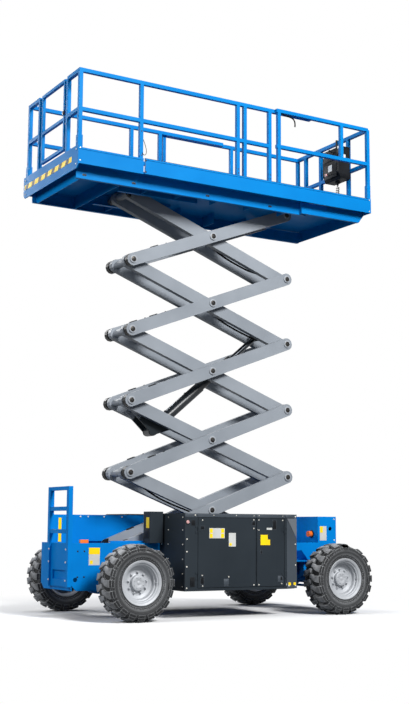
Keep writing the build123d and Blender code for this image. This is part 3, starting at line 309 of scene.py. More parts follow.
ramFoot = Vector((-0.6913, 0, 2.1385))                  # the ram's lower eye
finishTable = [
    # platform, rails and boards: an even deep blue with hardly any shine
    (paintedSteel, "blueEnamel", {"colour": "#0079C0", "dusty": "#0070B6", "edge": "#2E9EE0", "rough": 0.45,
                                  "gloss": 0.05, "wear": 0.3, "streaks": 0.2}),
    # chassis and axles: the same coat painted brighter, a lit copy as painted light, with rain marks down its
    # walls
    (paintedSteel, "blueChassisPaintedLight", {"colour": "#0080D2", "dusty": "#0074C4", "edge": "#2E9CE8", "rough": 0.45,
                                   "gloss": 0.05, "wear": 0.4, "streaks": 0.45}),
    # scissor arms: baked powder, silvery grey, with painted shade on the undersides, and dark at the bearing
    # sleeves
    (paintedSteel, "armPowderCoat", {
        "colour": "#8F959C", "dusty": "#81878E", "edge": "#C0C4C8", "rough": 0.42, "gloss": 0.14,
        "streaks": 0.1, "below": "#596067",
        "sleeves": {"before": -1.106, "from": 0.1955, "to": 0.2905, "colour": "#0D0F11"},
        "bracket": {"pin": ramFoot, "radius": 0.24, "half": 0.118, "colour": "#171E23"}}),
    # pin washers: rubbed pale by the arms
    (paintedSteel, "paleWasher", {"colour": "#9DA2A8", "dusty": "#8B9096", "edge": "#D8DCE0", "rough": 0.4,
                                  "wear": 0.6}),
    # cabinets: near-black powder with a fine texture
    (paintedSteel, "charcoalPowderCoat", {"colour": "#20272D", "dusty": "#272E34", "edge": "#454D55",
                                          "rough": 0.5, "gloss": 0.12, "wear": 0.4, "peelMm": 4,
                                          "peel": 0.12}),
    # folded edges, latch frames and lower corner sheets of the cabinets: the same powder painted lighter, a
    # painted highlight where it catches the light
    (paintedSteel, "charcoalPaintedHighlight", {"colour": "#3C434A", "dusty": "#454C53", "edge": "#6B727A", "rough": 0.5,
                                    "gloss": 0.15, "wear": 0.4, "peelMm": 4, "peel": 0.12}),
    # walked-on sheets: blue coat with grit in it, scuffed greyer in patches
    (paintedSteel, "deckGrit", {"colour": "#0F6FAA", "dusty": "#2A6E9C", "edge": "#4D9AC8", "rough": 0.62,
                                "gloss": 0.1, "wear": 0.4, "cloud": 2.4, "peelMm": 3, "peel": 0.5}),
    # upper sheet of the sloped cabinet corner: mid grey, a painted highlight where the corner faces up
    (paintedSteel, "greyPaintedHighlight", {"colour": "#63686E", "dusty": "#565B61", "edge": "#858B92", "rough": 0.45,
                                 "gloss": 0.2, "wear": 0.4}),
    # ram barrel: glossy black
    (paintedSteel, "blackEnamel", {"colour": "#0B1116", "dusty": "#10171D", "edge": "#343C44", "rough": 0.3,
                                   "gloss": 0.4, "wear": 0.3}),
    # wheel discs: silver lacquer with a faint metal flake
    (paintedSteel, "silverWheelPaint", {"colour": "#B6B9BD", "dusty": "#9FA2A6", "edge": "#D8D9DA",
                                        "rough": 0.46, "gloss": 0.4, "metal": 0.15, "wear": 0.3,
                                        "streaks": 0.1}),
    # control boxes and latches: dull black ABS
    (mouldedPlastic, "blackPlastic", {"colour": "#101215", "dusty": "#181A1D", "edge": "#303336",
                                      "rough": 0.55, "gloss": 0.08}),
    # cord and hoses: smooth black rubber
    (mouldedPlastic, "cordRubber", {"colour": "#060607", "dusty": "#0A0A0B", "edge": "#121213", "rough": 0.5,
                                    "gloss": 0.06, "grain": 0.02}),
    # marker lamps: bright orange with a clear shine over a coarse prism pattern
    (mouldedPlastic, "amberLens", {"colour": "#FF7A1E", "dusty": "#F06A12", "edge": "#FF9A4C", "rough": 0.2,
                                   "grain": 0.3, "grainMm": 8, "coat": 0.6}),
    # ram rod and pipe: dark polished steel under oil
    (bareMetal, "oiledRod", {"colour": "#4A4D51", "dusty": "#3A3D41", "rough": 0.16, "marks": 0.02}),
    # bolts on dark sheets: pale plating
    (bareMetal, "zincBolt", {"colour": "#E2E0D8", "dusty": "#C4C0B4", "rough": 0.4, "metal": 0.35}),
    # pins: brown-black steel
    (bareMetal, "burnishedPin", {"colour": "#3A3835", "dusty": "#262423", "rough": 0.4}),
    # engine and keeper bolts: rough sand-cast skin
    (paintedSteel, "castIron", {"colour": "#33363A", "dusty": "#272A2D", "edge": "#565B60", "rough": 0.6,
                                "peelMm": 8, "peel": 0.3}),
    # stop knobs: sun-faded red
    (mouldedPlastic, "pinkKnob", {"colour": "#CFA09E", "dusty": "#BC8C8A", "edge": "#E0BAB8", "rough": 0.4}),
    # end board: yellow and black bands
    (hazardTape, "hazardTape", {"stripe": 0.197, "lean": 0.55, "pale": 0.54, "yellow": "#FFDC0A",
                                "black": "#0C0C0B", "rough": 0.4, "gloss": 0.1}),
    # signs: smooth printed film, left blank
    (mouldedPlastic, "whiteVinyl", {"colour": "#CDCECB", "dusty": "#BEBFBA", "edge": "#E4E4E0", "rough": 0.4,
                                    "grain": 0.0}),
    (mouldedPlastic, "yellowVinyl", {"colour": "#FFDA0C", "dusty": "#F8D008", "edge": "#FFE650",
                                     "rough": 0.4, "grain": 0.0}),
]
finishes = {name: make(name, spec) for make, name, spec in finishTable}
finishOf = {"tyre_rubber": "blackPlastic", "silver_rim_paint": "silverWheelPaint",
            "grey_paint": "armPowderCoat", "charcoal_paint": "charcoalPowderCoat", "chrome_rod": "oiledRod",
            "black_paint": "blackEnamel", "cast_engine": "castIron", "black_plastic": "blackPlastic",
            "cord_rubber": "cordRubber", "amber_lens": "amberLens", "axle_paint": "blueChassisPaintedLight",
            "blue_paint": "blueEnamel"}
chassisNodes = frame["record"]["behaviour"]["bodies"]["chassis"]
for row in frame["record"]["subparts"]:
    finish = finishOf[row["material_slot"]]
    # the chassis takes the brighter copy of the blue: painted light
    if finish == "blueEnamel" and row["node"] in chassisNodes:
        finish = "blueChassisPaintedLight"
    mesh = nodes[row["node"]].data
    mesh.materials.clear()
    mesh.materials.append(finishes[finish])
gritMade = {"nodes": ("platform_deck", "extension_deck"), "level": 0.95, "area": 0.05}
for name in gritMade["nodes"]:                          # only large faces that look up get the grit
    mesh = nodes[name].data
    mesh.materials.append(finishes["deckGrit"])
    for face in mesh.polygons:
        if face.normal.z > gritMade["level"] and face.area > gritMade["area"]:
            face.material_index = 1


def turned(shape, outline, centre, side, steps=96):     # spin of (radius, outward distance) about an axle
    rim = [shape.verts.new((radius, side * out, 0)) for radius, out in outline]
    edges = [shape.edges.new(pair) for pair in zip(rim, rim[1:])]
    bmesh.ops.spin(shape, geom=rim + edges, cent=(0, 0, 0), axis=(0, 1, 0), angle=2 * pi, steps=steps,
                   use_merge=True)
    made = list(shape.verts)
    bmesh.ops.translate(shape, verts=made, vec=centre)
    bmesh.ops.remove_doubles(shape, verts=made, dist=0.00002)


def soften(shape, edges, width):                        # small rounded edge
    bmesh.ops.bevel(shape, geom=edges, offset=width, segments=2, profile=0.5, affect="EDGES", material=-1)


def peg(shape, place, outward, radius, height, sides=20, edge=0.0, top=None):
    way = Vector(outward).normalized()
    turn = way.to_track_quat("Z", "Y").to_matrix().to_4x4()
    middle = Matrix.Translation(Vector(place) + way * height / 2)
    grown = bmesh.ops.create_cone(shape, cap_ends=True, segments=sides, radius1=radius,
                                  radius2=radius if top is None else top, depth=height, matrix=middle @ turn)
    if edge:                                            # only the outer rim is rounded
        far = max(v.co.dot(way) for v in grown["verts"])
        outer = {v for v in grown["verts"] if far - v.co.dot(way) < 1e-5}
        soften(shape, list({e for v in outer for e in v.link_edges if e.other_vert(v) in outer}), edge)


def block(shape, low, high, edge=0.0):
    low, high = Vector(low), Vector(high)
    grown = bmesh.ops.create_cube(shape, size=1.0, matrix=Matrix.Translation((low + high) / 2)
                                  @ Matrix.Diagonal((*(high - low), 1.0)))
    if edge:
        soften(shape, list({e for v in grown["verts"] for e in v.link_edges}), edge)


def panel(shape, side, spot, face, proud, edge=0.0):    # flat piece on a wall that looks along Y; x, x, z, z
    left, right, bottom, top = spot
    near, far = sorted((side * face, side * (face + proud)))
    block(shape, (left, near, bottom), (right, far, top), edge)


def screw(shape, place, outward, size):                 # washer with a hexagon head, all from its size
    peg(shape, place, outward, size * 1.5, size * 0.3, 14)
    peg(shape, Vector(place) + Vector(outward) * size * 0.3, outward, size, size * 0.7, 6, edge=size * 0.15)


def sideScrews(shape, side, face, spots, size):         # on a wall that looks along Y; a spot is x, z
    for across, up in spots:
        screw(shape, (across, side * face, up), (0, side, 0), size)


def endScrews(shape, way, face, spots, size):           # on a wall that looks along X; a spot is y, z
    for along, up in spots:
        screw(shape, (face, along, up), (way, 0, 0), size)


def finishPiece(name, shape, finish, body, angle=35):
    bmesh.ops.recalc_face_normals(shape, faces=shape.faces)
    mesh = bpy.data.meshes.new(name)
    shape.to_mesh(mesh)
    shape.free()
    mesh.polygons.foreach_set("use_smooth", [True] * len(mesh.polygons))
    mesh.set_sharp_from_angle(angle=radians(angle))
    mesh.materials.append(finishes[finish])
    piece = bpy.data.objects.new(name, mesh)
    bpy.context.scene.collection.objects.link(piece)
    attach(piece, body)
    return piece


def smoothLine(data, points):                           # one smooth curve that starts and ends on its points
    data.dimensions = "3D"
    line = data.splines.new("NURBS")
    line.points.add(len(points) - 1)
    for point, place in zip(line.points, points):
        point.co = (*place, 1.0)
    line.order_u = 3
    line.use_endpoint_u = True


def hose(name, points, radius, finish, body):  # clipped hose or bent rod
    data = bpy.data.curves.new(name, "CURVE")
    smoothLine(data, points)
    data.bevel_depth = radius
    data.bevel_resolution = 3
    data.use_fill_caps = True
    data.materials.append(finishes[finish])
    piece = bpy.data.objects.new(name, data)
    bpy.context.scene.collection.objects.link(piece)
    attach(piece, body)
    return piece


# the curly cord hangs from the controls to its socket on the extension's deck
cordMade = {"route": [(1.949, -0.27, 5.545), (1.949, -0.27, 5.450), (1.937, -0.27, 5.335),
                      (1.949, -0.27, 5.220), (1.949, -0.27, 5.125)],
            "wire": 0.010, "coil": 0.020, "turns": 15, "pointsPerTurn": 14, "lead": 0.09, "opening": 10,
            "smoothing": 0.985}                         # a smooth curve runs shorter than its points
guide = bpy.data.curves.new("cordGuide", "CURVE")
guide.resolution_u = 24
smoothLine(guide, cordMade["route"])
guideObject = bpy.data.objects.new("cordGuide", guide)
guideMesh = bpy.data.meshes.new_from_object(guideObject)
spine = [v.co.copy() for v in guideMesh.vertices]
bpy.data.objects.remove(guideObject)
spineAt = [0.0]
for first, second in zip(spine, spine[1:]):
    spineAt.append(spineAt[-1] + (second - first).length)


def onSpine(share):                                     # point of the cord's line at a share of its length
    goal = share * spineAt[-1]
    for number in range(1, len(spine)):
        if spineAt[number] >= goal:
            part = (goal - spineAt[number - 1]) / max(spineAt[number] - spineAt[number - 1], 1e-9)
            return spine[number - 1].lerp(spine[number], part)
    return spine[-1].copy()


coilPoints = [onSpine(0.0), onSpine(cordMade["lead"] * 0.5)]
coilSteps = cordMade["turns"] * cordMade["pointsPerTurn"]
for number in range(coilSteps + 1):
    share = cordMade["lead"] + (1 - 2 * cordMade["lead"]) * number / coilSteps
    swing = 2 * pi * number / cordMade["pointsPerTurn"]
    opened = min(1.0, number / cordMade["opening"], (coilSteps - number) / cordMade["opening"])
    reach = cordMade["coil"] * opened
    coilPoints.append(onSpine(share) + Vector((reach * cos(swing), reach * sin(swing), 0)))
coilPoints += [onSpine(1 - cordMade["lead"] * 0.5), onSpine(1.0)]
curlyCord = hose("curlyCord", [tuple(p) for p in coilPoints], cordMade["wire"] / 2, "cordRubber", "extension")
curlyCord.data.resolution_u = 2
curlyCord.data.bevel_depth = 1.0                        # the points' radius is the wire's, so its box fits it
for point in curlyCord.data.splines[0].points:
    point.radius = cordMade["wire"] / 2
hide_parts("control_cord")

# tyres: spun carcass with ribs on the sidewall, and curved lugs in two staggered rows
tyreMade = {
    "wall": [(0.2122, 0.134), (0.243, 0.1345), (0.249, 0.141), (0.258, 0.1455), (0.262, 0.1495),
             (0.270, 0.1500), (0.275, 0.1515), (0.279, 0.1560), (0.287, 0.1565), (0.291, 0.1590),
             (0.312, 0.1618), (0.318, 0.1640), (0.326, 0.1640), (0.331, 0.1620), (0.350, 0.1610),
             (0.366, 0.1570), (0.378, 0.1440), (0.386, 0.1100), (0.390, 0.0)],
    "lug": [(-0.020, 0.056), (0.004, 0.068), (0.032, 0.062), (0.058, 0.046), (0.090, 0.040), (0.126, 0.043),
            (0.162, 0.046), (0.162, -0.046), (0.130, -0.043), (0.096, -0.034), (0.062, -0.022),
            (0.034, -0.002), (0.010, 0.010), (-0.020, 0.006)],
    "lugs": 20, "top": 0.4135, "root": 0.372, "bend": 0.41, "softEdge": 0.0035,
    "taper": 0.12, "middle": (0.075, 0.02),             # the face shrinks by a share about its middle
    "shoulder": 0.112, "shoulderRun": 0.045, "drop": 0.014, "rootDrop": 0.034,
    "crown": 0.004, "halfWidth": 0.16,
    # dusty is dust with a painted highlight on the lug tops; edge is a painted highlight on the lug edges
    "rubber": {"colour": "#17181A", "dusty": "#96989B", "wall": "#303234", "edge": "#9C9EA0", "edgeMm": 6,
               "treadFrom": 0.392, "treadTo": 0.409, "dusting": 9.0, "film": 3.0, "grainMm": 6.25,
               "grain": 0.25, "rough": 0.72, "gloss": 0.3}}


def lugForm(side, spec):                                # one lug, drawn flat, then wrapped round the tread
    shape = bmesh.new()
    corners = [shape.verts.new((side * across, along, 0)) for across, along in spec["lug"]]
    face = shape.faces.new(corners)
    grown = bmesh.ops.extrude_face_region(shape, geom=[face])
    lifted = [v for v in grown["geom"] if isinstance(v, bmesh.types.BMVert)]
    bmesh.ops.translate(shape, verts=lifted, vec=(0, 0, 1))
    crown = [e for v in lifted for e in v.link_edges if all(w in lifted for w in e.verts)]
    middle = Vector((side * spec["middle"][0], spec["middle"][1], 1))
    for v in lifted:
        v.co = v.co.lerp(middle, spec["taper"])
    for v in shape.verts:
        across = abs(v.co.x)
        lean = max(0.0, across - spec["shoulder"]) / spec["shoulderRun"]
        tip = spec["top"] - spec["drop"] * lean * lean - spec["crown"] * (across / spec["halfWidth"]) ** 2
        foot = spec["root"] - spec["rootDrop"] * min(1.0, lean)
        v.co.z = tip if v.co.z > 0.5 else foot
    soften(shape, list(set(crown)), spec["softEdge"])
    bmesh.ops.triangulate(shape, faces=[f for f in shape.faces if len(f.verts) > 6])
    for v in shape.verts:
        turn = v.co.y / spec["bend"]
        reach = v.co.z
        v.co = Vector((reach * sin(turn), v.co.x, reach * cos(turn)))
    return shape


wheelCorners = ("rear_right", "rear_left", "front_right", "front_left")
for corner in wheelCorners:
    side = -1 if corner.endswith("right") else 1
    centre = jointAt["wheel_" + corner + "_spin"]
    shape = bmesh.new()
    wall = tyreMade["wall"]
    turned(shape, wall + [(r, -out) for r, out in reversed(wall[:-1])] + [wall[0]], (0, 0, 0), side)
    for half, first in ((-1, 0), (1, pi / tyreMade["lugs"])):
        lug = lugForm(half, tyreMade)
        lugMesh = bpy.data.meshes.new("lugForm")
        lug.to_mesh(lugMesh)
        lug.free()
        for number in range(tyreMade["lugs"]):
            had = len(shape.verts)
            shape.from_mesh(lugMesh)
            shape.verts.ensure_lookup_table()
            bmesh.ops.rotate(shape, verts=shape.verts[had:], cent=(0, 0, 0),
                             matrix=Matrix.Rotation(first + number * 2 * pi / tyreMade["lugs"], 3, "Y"))
        bpy.data.meshes.remove(lugMesh)
    bmesh.ops.translate(shape, verts=shape.verts, vec=centre)
    rubber = "tyreRubber." + corner                     # one each, because its dust and painted highlight on the lug tops are measured from the hub
    finishes[rubber] = tyreRubber(rubber, centre, tyreMade["rubber"])
    tyre = finishPiece("tyreBody." + corner, shape, rubber, "wheel_" + corner, angle=30)
    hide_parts("tyre_" + corner)
print("tyres are made")

# steel disc wheels: rolled lips, a stepped well, a dished disc, nuts, hub cap and valve
wheelMade = {
    "outline": [
        (0.0, 0.0760), (0.018, 0.0760), (0.020, 0.0745), (0.030, 0.0745), (0.032, 0.0760), (0.074, 0.0760),
        (0.081, 0.0725), (0.084, 0.0650), (0.085, 0.0360), (0.090, 0.0320), (0.134, 0.0310), (0.141, 0.0335),
        (0.152, 0.0420), (0.163, 0.0455), (0.171, 0.0500), (0.175, 0.0600), (0.177, 0.0860), (0.181, 0.0910),
        (0.188, 0.0925), (0.192, 0.0960), (0.194, 0.1180), (0.197, 0.1225), (0.203, 0.1240), (0.207, 0.1270),
        (0.211, 0.1360), (0.216, 0.1420), (0.226, 0.1440), (0.232, 0.1480), (0.238, 0.1490),
        (0.2415, 0.1455), (0.2415, 0.1385), (0.238, 0.1347), (0.2119, 0.1347), (0.2119, -0.1347),
        (0.238, -0.1347), (0.2415, -0.1400), (0.2400, -0.1460), (0.232, -0.1480), (0.216, -0.1430),
        (0.206, -0.1300), (0.203, -0.0900), (0.200, 0.0100), (0.186, 0.0200), (0.150, 0.0140),
        (0.110, 0.0130), (0.096, 0.0100), (0.094, -0.0300), (0.0705, -0.0300), (0.0705, 0.0600),
        (0.0, 0.0600)],
    "nuts": 9, "nutRing": 0.112, "seat": 0.0312, "washer": 0.01755, "washerHigh": 0.003,
    "nut": 0.013, "nutHigh": 0.015, "stud": 0.0075, "studHigh": 0.010,
    "capScrews": 8, "capRing": 0.058, "capFace": 0.0758, "capScrew": 0.0055,
    "valveRing": 0.188, "valveSeat": 0.0915, "valveLean": 0.15, "valve": 0.0045, "valveLong": 0.040}
for corner in wheelCorners:
    side = -1 if corner.endswith("right") else 1
    centre = jointAt["wheel_" + corner + "_spin"]
    out = Vector((0, side, 0))
    shape = bmesh.new()
    turned(shape, wheelMade["outline"], centre, side)
    wheel = finishPiece("wheelDisc." + corner, shape, "silverWheelPaint", "wheel_" + corner,
                        angle=40)
    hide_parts("rim_" + corner)
    shape = bmesh.new()
    for number in range(wheelMade["nuts"]):
        turn = 2 * pi * number / wheelMade["nuts"]
        base = centre + Vector((sin(turn), 0, cos(turn))) * wheelMade["nutRing"] + out * wheelMade["seat"]
        peg(shape, base, out, wheelMade["washer"], wheelMade["washerHigh"], 18)
        base += out * wheelMade["washerHigh"]
        peg(shape, base, out, wheelMade["nut"], wheelMade["nutHigh"], 6, edge=0.002)
        base += out * wheelMade["nutHigh"]
        peg(shape, base, out, wheelMade["stud"], wheelMade["studHigh"], 12, edge=0.0015)
    for number in range(wheelMade["capScrews"]):
        turn = 2 * pi * (number + 0.5) / wheelMade["capScrews"]
        base = centre + Vector((sin(turn), 0, cos(turn))) * wheelMade["capRing"] + out * wheelMade["capFace"]
        screw(shape, base, out, wheelMade["capScrew"])
    base = centre + Vector((wheelMade["valveRing"], 0, 0)) + out * wheelMade["valveSeat"]
    peg(shape, base, (wheelMade["valveLean"], side, 0), wheelMade["valve"], wheelMade["valveLong"], 10,
        edge=0.001)
    finishPiece("wheelNuts." + corner, shape, "silverWheelPaint", "wheel_" + corner)
print("wheels are made")

# pin ends: a pale washer, a dark pin with a keeper bolt, on both sides of the stack
stackMade = {"armFace": 0.2955, "innerPin": 0.3062, "outerPin": 0.3052, "slidePin": 0.3500,
             "washer": 0.047, "proud": 0.003, "pin": 0.031, "pinSeat": 0.0015, "pinHigh": 0.0035,
             "bolt": 0.011, "boltHigh": 0.0050}
liftAt = jointAt["lift"]
rise = (jointAt["inner_2_right_pin"] - liftAt).z        # from one stage's pins to the next


def leftPin(level, above):                              # a stage's left pin, low (0) or high (1)
    middle = jointAt["outer_%d_centre_pin" % level]
    return middle * 2 - liftAt - Vector((0, 0, rise * (level - above)))


pinEnds = {}
for level in range(1, 6):
    middle = jointAt["outer_%d_centre_pin" % level]
    right = liftAt + Vector((0, 0, rise * level))
    slides = level == 5                                 # the top inner arm ends in the platform's channel
    pinEnds["inner_%d" % level] = [(middle, stackMade["innerPin"]),
                                   (leftPin(level, 1), stackMade["slidePin" if slides else "innerPin"])]
    pinEnds["outer_%d" % level] = [(right, stackMade["outerPin"])]
for body, ends in pinEnds.items():
    washers, darks, bolts = bmesh.new(), bmesh.new(), bmesh.new()
    for place, reach in ends:
        for side in (-1, 1):
            out = Vector((0, side, 0))
            middle = Vector((place.x, 0, place.z))
            if reach < stackMade["slidePin"]:
                peg(washers, middle + out * stackMade["armFace"], out, stackMade["washer"],
                    reach - stackMade["armFace"] + stackMade["proud"], 40, edge=0.002)
            base = middle + out * (reach + stackMade["pinSeat"])
            peg(darks, base, out, stackMade["pin"], stackMade["pinHigh"], 32, edge=0.0015)
            base += out * stackMade["pinHigh"]
            peg(bolts, base, out, stackMade["bolt"], stackMade["boltHigh"], 6, edge=0.0020)
    finishPiece("pinWashers." + body, washers, "paleWasher", body)
    finishPiece("pinKeepers." + body, darks, "burnishedPin", body)
    finishPiece("keeperBolts." + body, bolts, "castIron", body)
print("pin ends are made")

# blank signs on the cabinets, their doors and the chassis; a spot is x, x, z, z
signMade = {"whiteLift": 0.0010, "yellowLift": 0.0016, "plates": [
    {"name": "mainDoorSign", "body": "door_{}_main", "face": 1.0,
     "white": [(-0.457, -0.254, 0.889, 1.002), (-0.199, -0.105, 0.797, 0.949)],
     "yellow": [(-0.450, -0.412, 0.895, 0.941), (-0.450, -0.412, 0.950, 0.996),
                (-0.302, -0.262, 0.895, 0.941), (-0.302, -0.262, 0.950, 0.996),
                (-0.192, -0.160, 0.806, 0.836)]},
    {"name": "smallDoorSign", "body": "door_{}_small", "face": 1.0,
     "white": [(0.316, 0.392, 0.985, 1.009)],
     "yellow": [(0.232, 0.330, 0.812, 0.928), (0.3305, 0.363, 0.812, 0.875)]},
    {"name": "cabinetSign", "body": "chassis", "face": 1.0,
     "white": [(0.590, 0.612, 0.352, 0.372)],
     "yellow": [(0.618, 0.652, 0.348, 0.382), (0.690, 0.722, 0.352, 0.382)]},
    {"name": "chassisSign", "body": "chassis", "face": 0.42,
     "white": [(-1.665, -1.530, 0.587, 0.706), (1.500, 1.602, 0.856, 1.032)],
     "yellow": [(-1.665, -1.530, 0.7065, 0.779), (1.503, 1.545, 0.952, 1.028),
                (-1.650, -1.615, 0.600, 0.640)]}]}
flanks = ((-1, "near"), (1, "far"))
for sign in signMade["plates"]:
    for side, flank in flanks:
        for tone in ("white", "yellow"):
            shape = bmesh.new()
            for spot in sign[tone]:
                panel(shape, side, spot, sign["face"], signMade[tone + "Lift"])
            finishPiece(sign["name"] + tone.capitalize() + "." + flank, shape, tone + "Vinyl",
                        sign["body"].format(flank))

# latches in framed recesses, screws and a lower plate on each door
doorMade = {
    "door_{}_main": {"recesses": [(0.117, 0.160, 1.036, 1.080), (-0.566, -0.522, 0.986, 1.024),
                                  (-0.566, -0.524, 0.386, 0.463)],
                     "screws": [(-0.545, 1.090), (0.140, 1.000), (0.140, 1.098), (-0.540, 0.364),
                                (0.140, 0.364), (-0.545, 0.480), (-0.198, 0.460)],
                     "plate": (-0.264, -0.197, 0.354, 0.440)},
    "door_{}_small": {"recesses": [(0.400, 0.450, 0.990, 1.095), (0.503, 0.535, 0.391, 0.456),
                                   (0.232, 0.250, 0.716, 0.752)],
                      "screws": [(0.208, 1.096), (0.208, 0.982), (0.522, 0.372), (0.540, 1.096),
                                 (0.208, 0.364)],
                      "plate": (0.470, 0.545, 0.386, 0.462)},
}
latchMade = {"face": 1.0, "rim": 0.004, "rimProud": 0.0022, "rimEdge": 0.0007, "dishProud": 0.0006,
             "flapInset": 0.005, "flapFrom": 0.35, "flapDown": 0.006, "flapProud": 0.0045, "flapEdge": 0.0015,
             "plateProud": 0.0009, "plateEdge": 0.0004, "screw": 0.0052}
for pattern, spec in doorMade.items():
    for side, flank in flanks:
        body = pattern.format(flank)
        face, rim, inset = latchMade["face"], latchMade["rim"], latchMade["flapInset"]
        frames, dishes, screws = bmesh.new(), bmesh.new(), bmesh.new()
        for low, high, bottom, top in spec["recesses"]:
            for spot in ((low - rim, high + rim, top, top + rim),
                         (low - rim, high + rim, bottom - rim, bottom),
                         (low - rim, low, bottom, top), (high, high + rim, bottom, top)):
                panel(frames, side, spot, face, latchMade["rimProud"], latchMade["rimEdge"])
            panel(dishes, side, (low, high, bottom, top), face, latchMade["dishProud"])
            flap = (low + inset, high - inset, bottom + latchMade["flapFrom"] * (top - bottom),
                    top - latchMade["flapDown"])
            panel(dishes, side, flap, face, latchMade["flapProud"], latchMade["flapEdge"])
        panel(frames, side, spec["plate"], face, latchMade["plateProud"], latchMade["plateEdge"])
        sideScrews(screws, side, face, spec["screws"], latchMade["screw"])
        # latch frames and the lower plate are painted lighter than the case: a painted highlight
        finishPiece("latchFrames." + body, frames, "charcoalPaintedHighlight", body)
        finishPiece("latchDishes." + body, dishes, "blackPlastic", body)
        finishPiece("doorScrews." + body, screws, "zincBolt", body)
print("doors and signs are dressed")

# cabinet cases: folded top strip, flat sheets painted lighter as the sloped corner's highlight, bolts, stop button
# and side latches
cabinetMade = {
    "face": 1.0, "sheet": 0.0012, "stripLow": 1.122, "stripHigh": 1.164,
    "strips": [(-0.769, -0.612, 0.0012, 0.0005), (-0.606, 0.172, 0.0024, 0.001),
               (0.178, 0.574, 0.0024, 0.001), (0.580, 0.7385, 0.0012, 0.0005)],
    "facet": [(0.602, 1.117), (0.738, 1.117), (0.738, 0.890)],
    "lowerFacet": [(0.598, 1.113), (0.7375, 0.884), (0.7375, 0.316), (0.598, 0.316)],
    "bolts": [(-0.745, 0.88), (-0.745, 0.743), (-0.745, 0.578), (-0.745, 0.345), (0.720, 1.140),
              (0.720, 0.820), (0.720, 0.580), (0.720, 0.345), (-0.40, 1.145), (-0.10, 1.145), (0.14, 1.145),
              (0.21, 1.145), (0.54, 1.145), (0.625, 0.345), (-0.640, 1.145)],
    "bolt": 0.0058, "endBolt": 0.0055, "ends": [(-1, -0.770), (1, 0.740)],
    "endAcross": (0.470, 0.620, 0.950), "endUp": (0.36, 0.50, 0.66, 0.82, 0.98, 1.12),
    "stopAt": (-0.739, 1.069), "collar": 0.026, "collarHigh": 0.006, "stop": 0.019, "stopHigh": 0.007,
    "latches": [((-0.702, -0.643, 0.358, 0.464), 1.0, 0.004, 0.0015),
                ((-0.690, -0.655, 0.385, 0.437), 1.004, 0.004, 0.0015),
                ((-0.690, -0.640, 1.030, 1.090), 1.0, 0.002, 0.0008)]}


def flatSheet(shape, side, corners, face, thick):       # sheet of any outline on a wall that looks along Y
    sheet = shape.faces.new([shape.verts.new((x, side * face, z)) for x, z in corners])
    grown = bmesh.ops.extrude_face_region(shape, geom=[sheet])
    lifted = [v for v in grown["geom"] if isinstance(v, bmesh.types.BMVert)]
    bmesh.ops.translate(shape, verts=lifted, vec=(0, side * thick, 0))


for side, flank in flanks:
    trim, bolts, stops, darks, facets = (bmesh.new() for number in range(5))
    face = cabinetMade["face"]
    # the top strips are painted lighter than the case: a painted highlight
    for low, high, proud, edge in cabinetMade["strips"]:
        panel(trim, side, (low, high, cabinetMade["stripLow"], cabinetMade["stripHigh"]), face, proud, edge)
    # flat sheets stand for the sloped corner; both are painted lighter than the case: a painted highlight
    flatSheet(facets, side, cabinetMade["facet"], face, cabinetMade["sheet"])
    flatSheet(trim, side, cabinetMade["lowerFacet"], face, cabinetMade["sheet"])
    sideScrews(bolts, side, face, cabinetMade["bolts"], cabinetMade["bolt"])
    for way, end in cabinetMade["ends"]:
        spots = [(side * across, up) for across in cabinetMade["endAcross"] for up in cabinetMade["endUp"]]
        endScrews(bolts, way, end, spots, cabinetMade["endBolt"])
    across, up = cabinetMade["stopAt"]
    peg(darks, (across, side * face, up), (0, side, 0), cabinetMade["collar"], cabinetMade["collarHigh"], 28,
        edge=0.002)
    peg(stops, (across, side * (face + cabinetMade["collarHigh"]), up), (0, side, 0), cabinetMade["stop"],
        cabinetMade["stopHigh"], 28, edge=0.003)
    for spot, seat, proud, edge in cabinetMade["latches"]:
        panel(darks, side, spot, seat, proud, edge)
    finishPiece("cornerFacet." + flank, facets, "greyPaintedHighlight", "chassis")
    finishPiece("cabinetTrim." + flank, trim, "charcoalPaintedHighlight", "chassis")
    finishPiece("cabinetBolts." + flank, bolts, "zincBolt", "chassis")
    finishPiece("stopButton." + flank, stops, "pinkKnob", "chassis")
    finishPiece("cabinetLatches." + flank, darks, "blackPlastic", "chassis")
print("cabinets are dressed")

# chassis: bolts on its walls and its end, the lower controls' bezels and sign, a strip and a lamp base
chassisMade = {
    "wall": 0.420, "wallBolt": 0.0065,
    "darkAcross": (-1.80, -1.72, -0.86, 1.50, 1.70), "darkUp": (0.46, 0.74),
    "paleSpots": [(1.72, 1.12), (1.72, 0.86), (1.72, 0.40)],
    "well": 0.408, "wellUp": 1.128, "wellAcross": (-1.39, -1.29, -1.08, -0.84, 1.52, 1.68),
    "end": -1.920, "endBolt": 0.0075, "endAcross": (-0.365, 0.095), "endUp": (0.42, 0.62, 0.76),
    "bezels": [((-0.9625, -0.5100, 0.880), (-0.960, -0.395, 1.000), 0.001),
               ((-0.9635, -0.5050, 0.900), (-0.9625, -0.4000, 0.985), 0.0004)],
    "sign": ((-0.9615, -0.512, 0.995), (-0.960, -0.440, 1.120)),
    "strip": (-1.672, -1.634, 0.835, 1.112), "stripThick": 0.0012,
    "lampAt": (1.4705, -0.290, 0.935), "lamp": 0.047, "lampHigh": 0.012}
paleBolts, darkBolts, bezels = bmesh.new(), bmesh.new(), bmesh.new()
for across in chassisMade["wellAcross"]:                # inside of the far wall
    spot = (across, chassisMade["well"], chassisMade["wellUp"])
    screw(paleBolts, spot, (0, -1, 0), chassisMade["wallBolt"])
darkSpots = [(across, up) for across in chassisMade["darkAcross"] for up in chassisMade["darkUp"]]
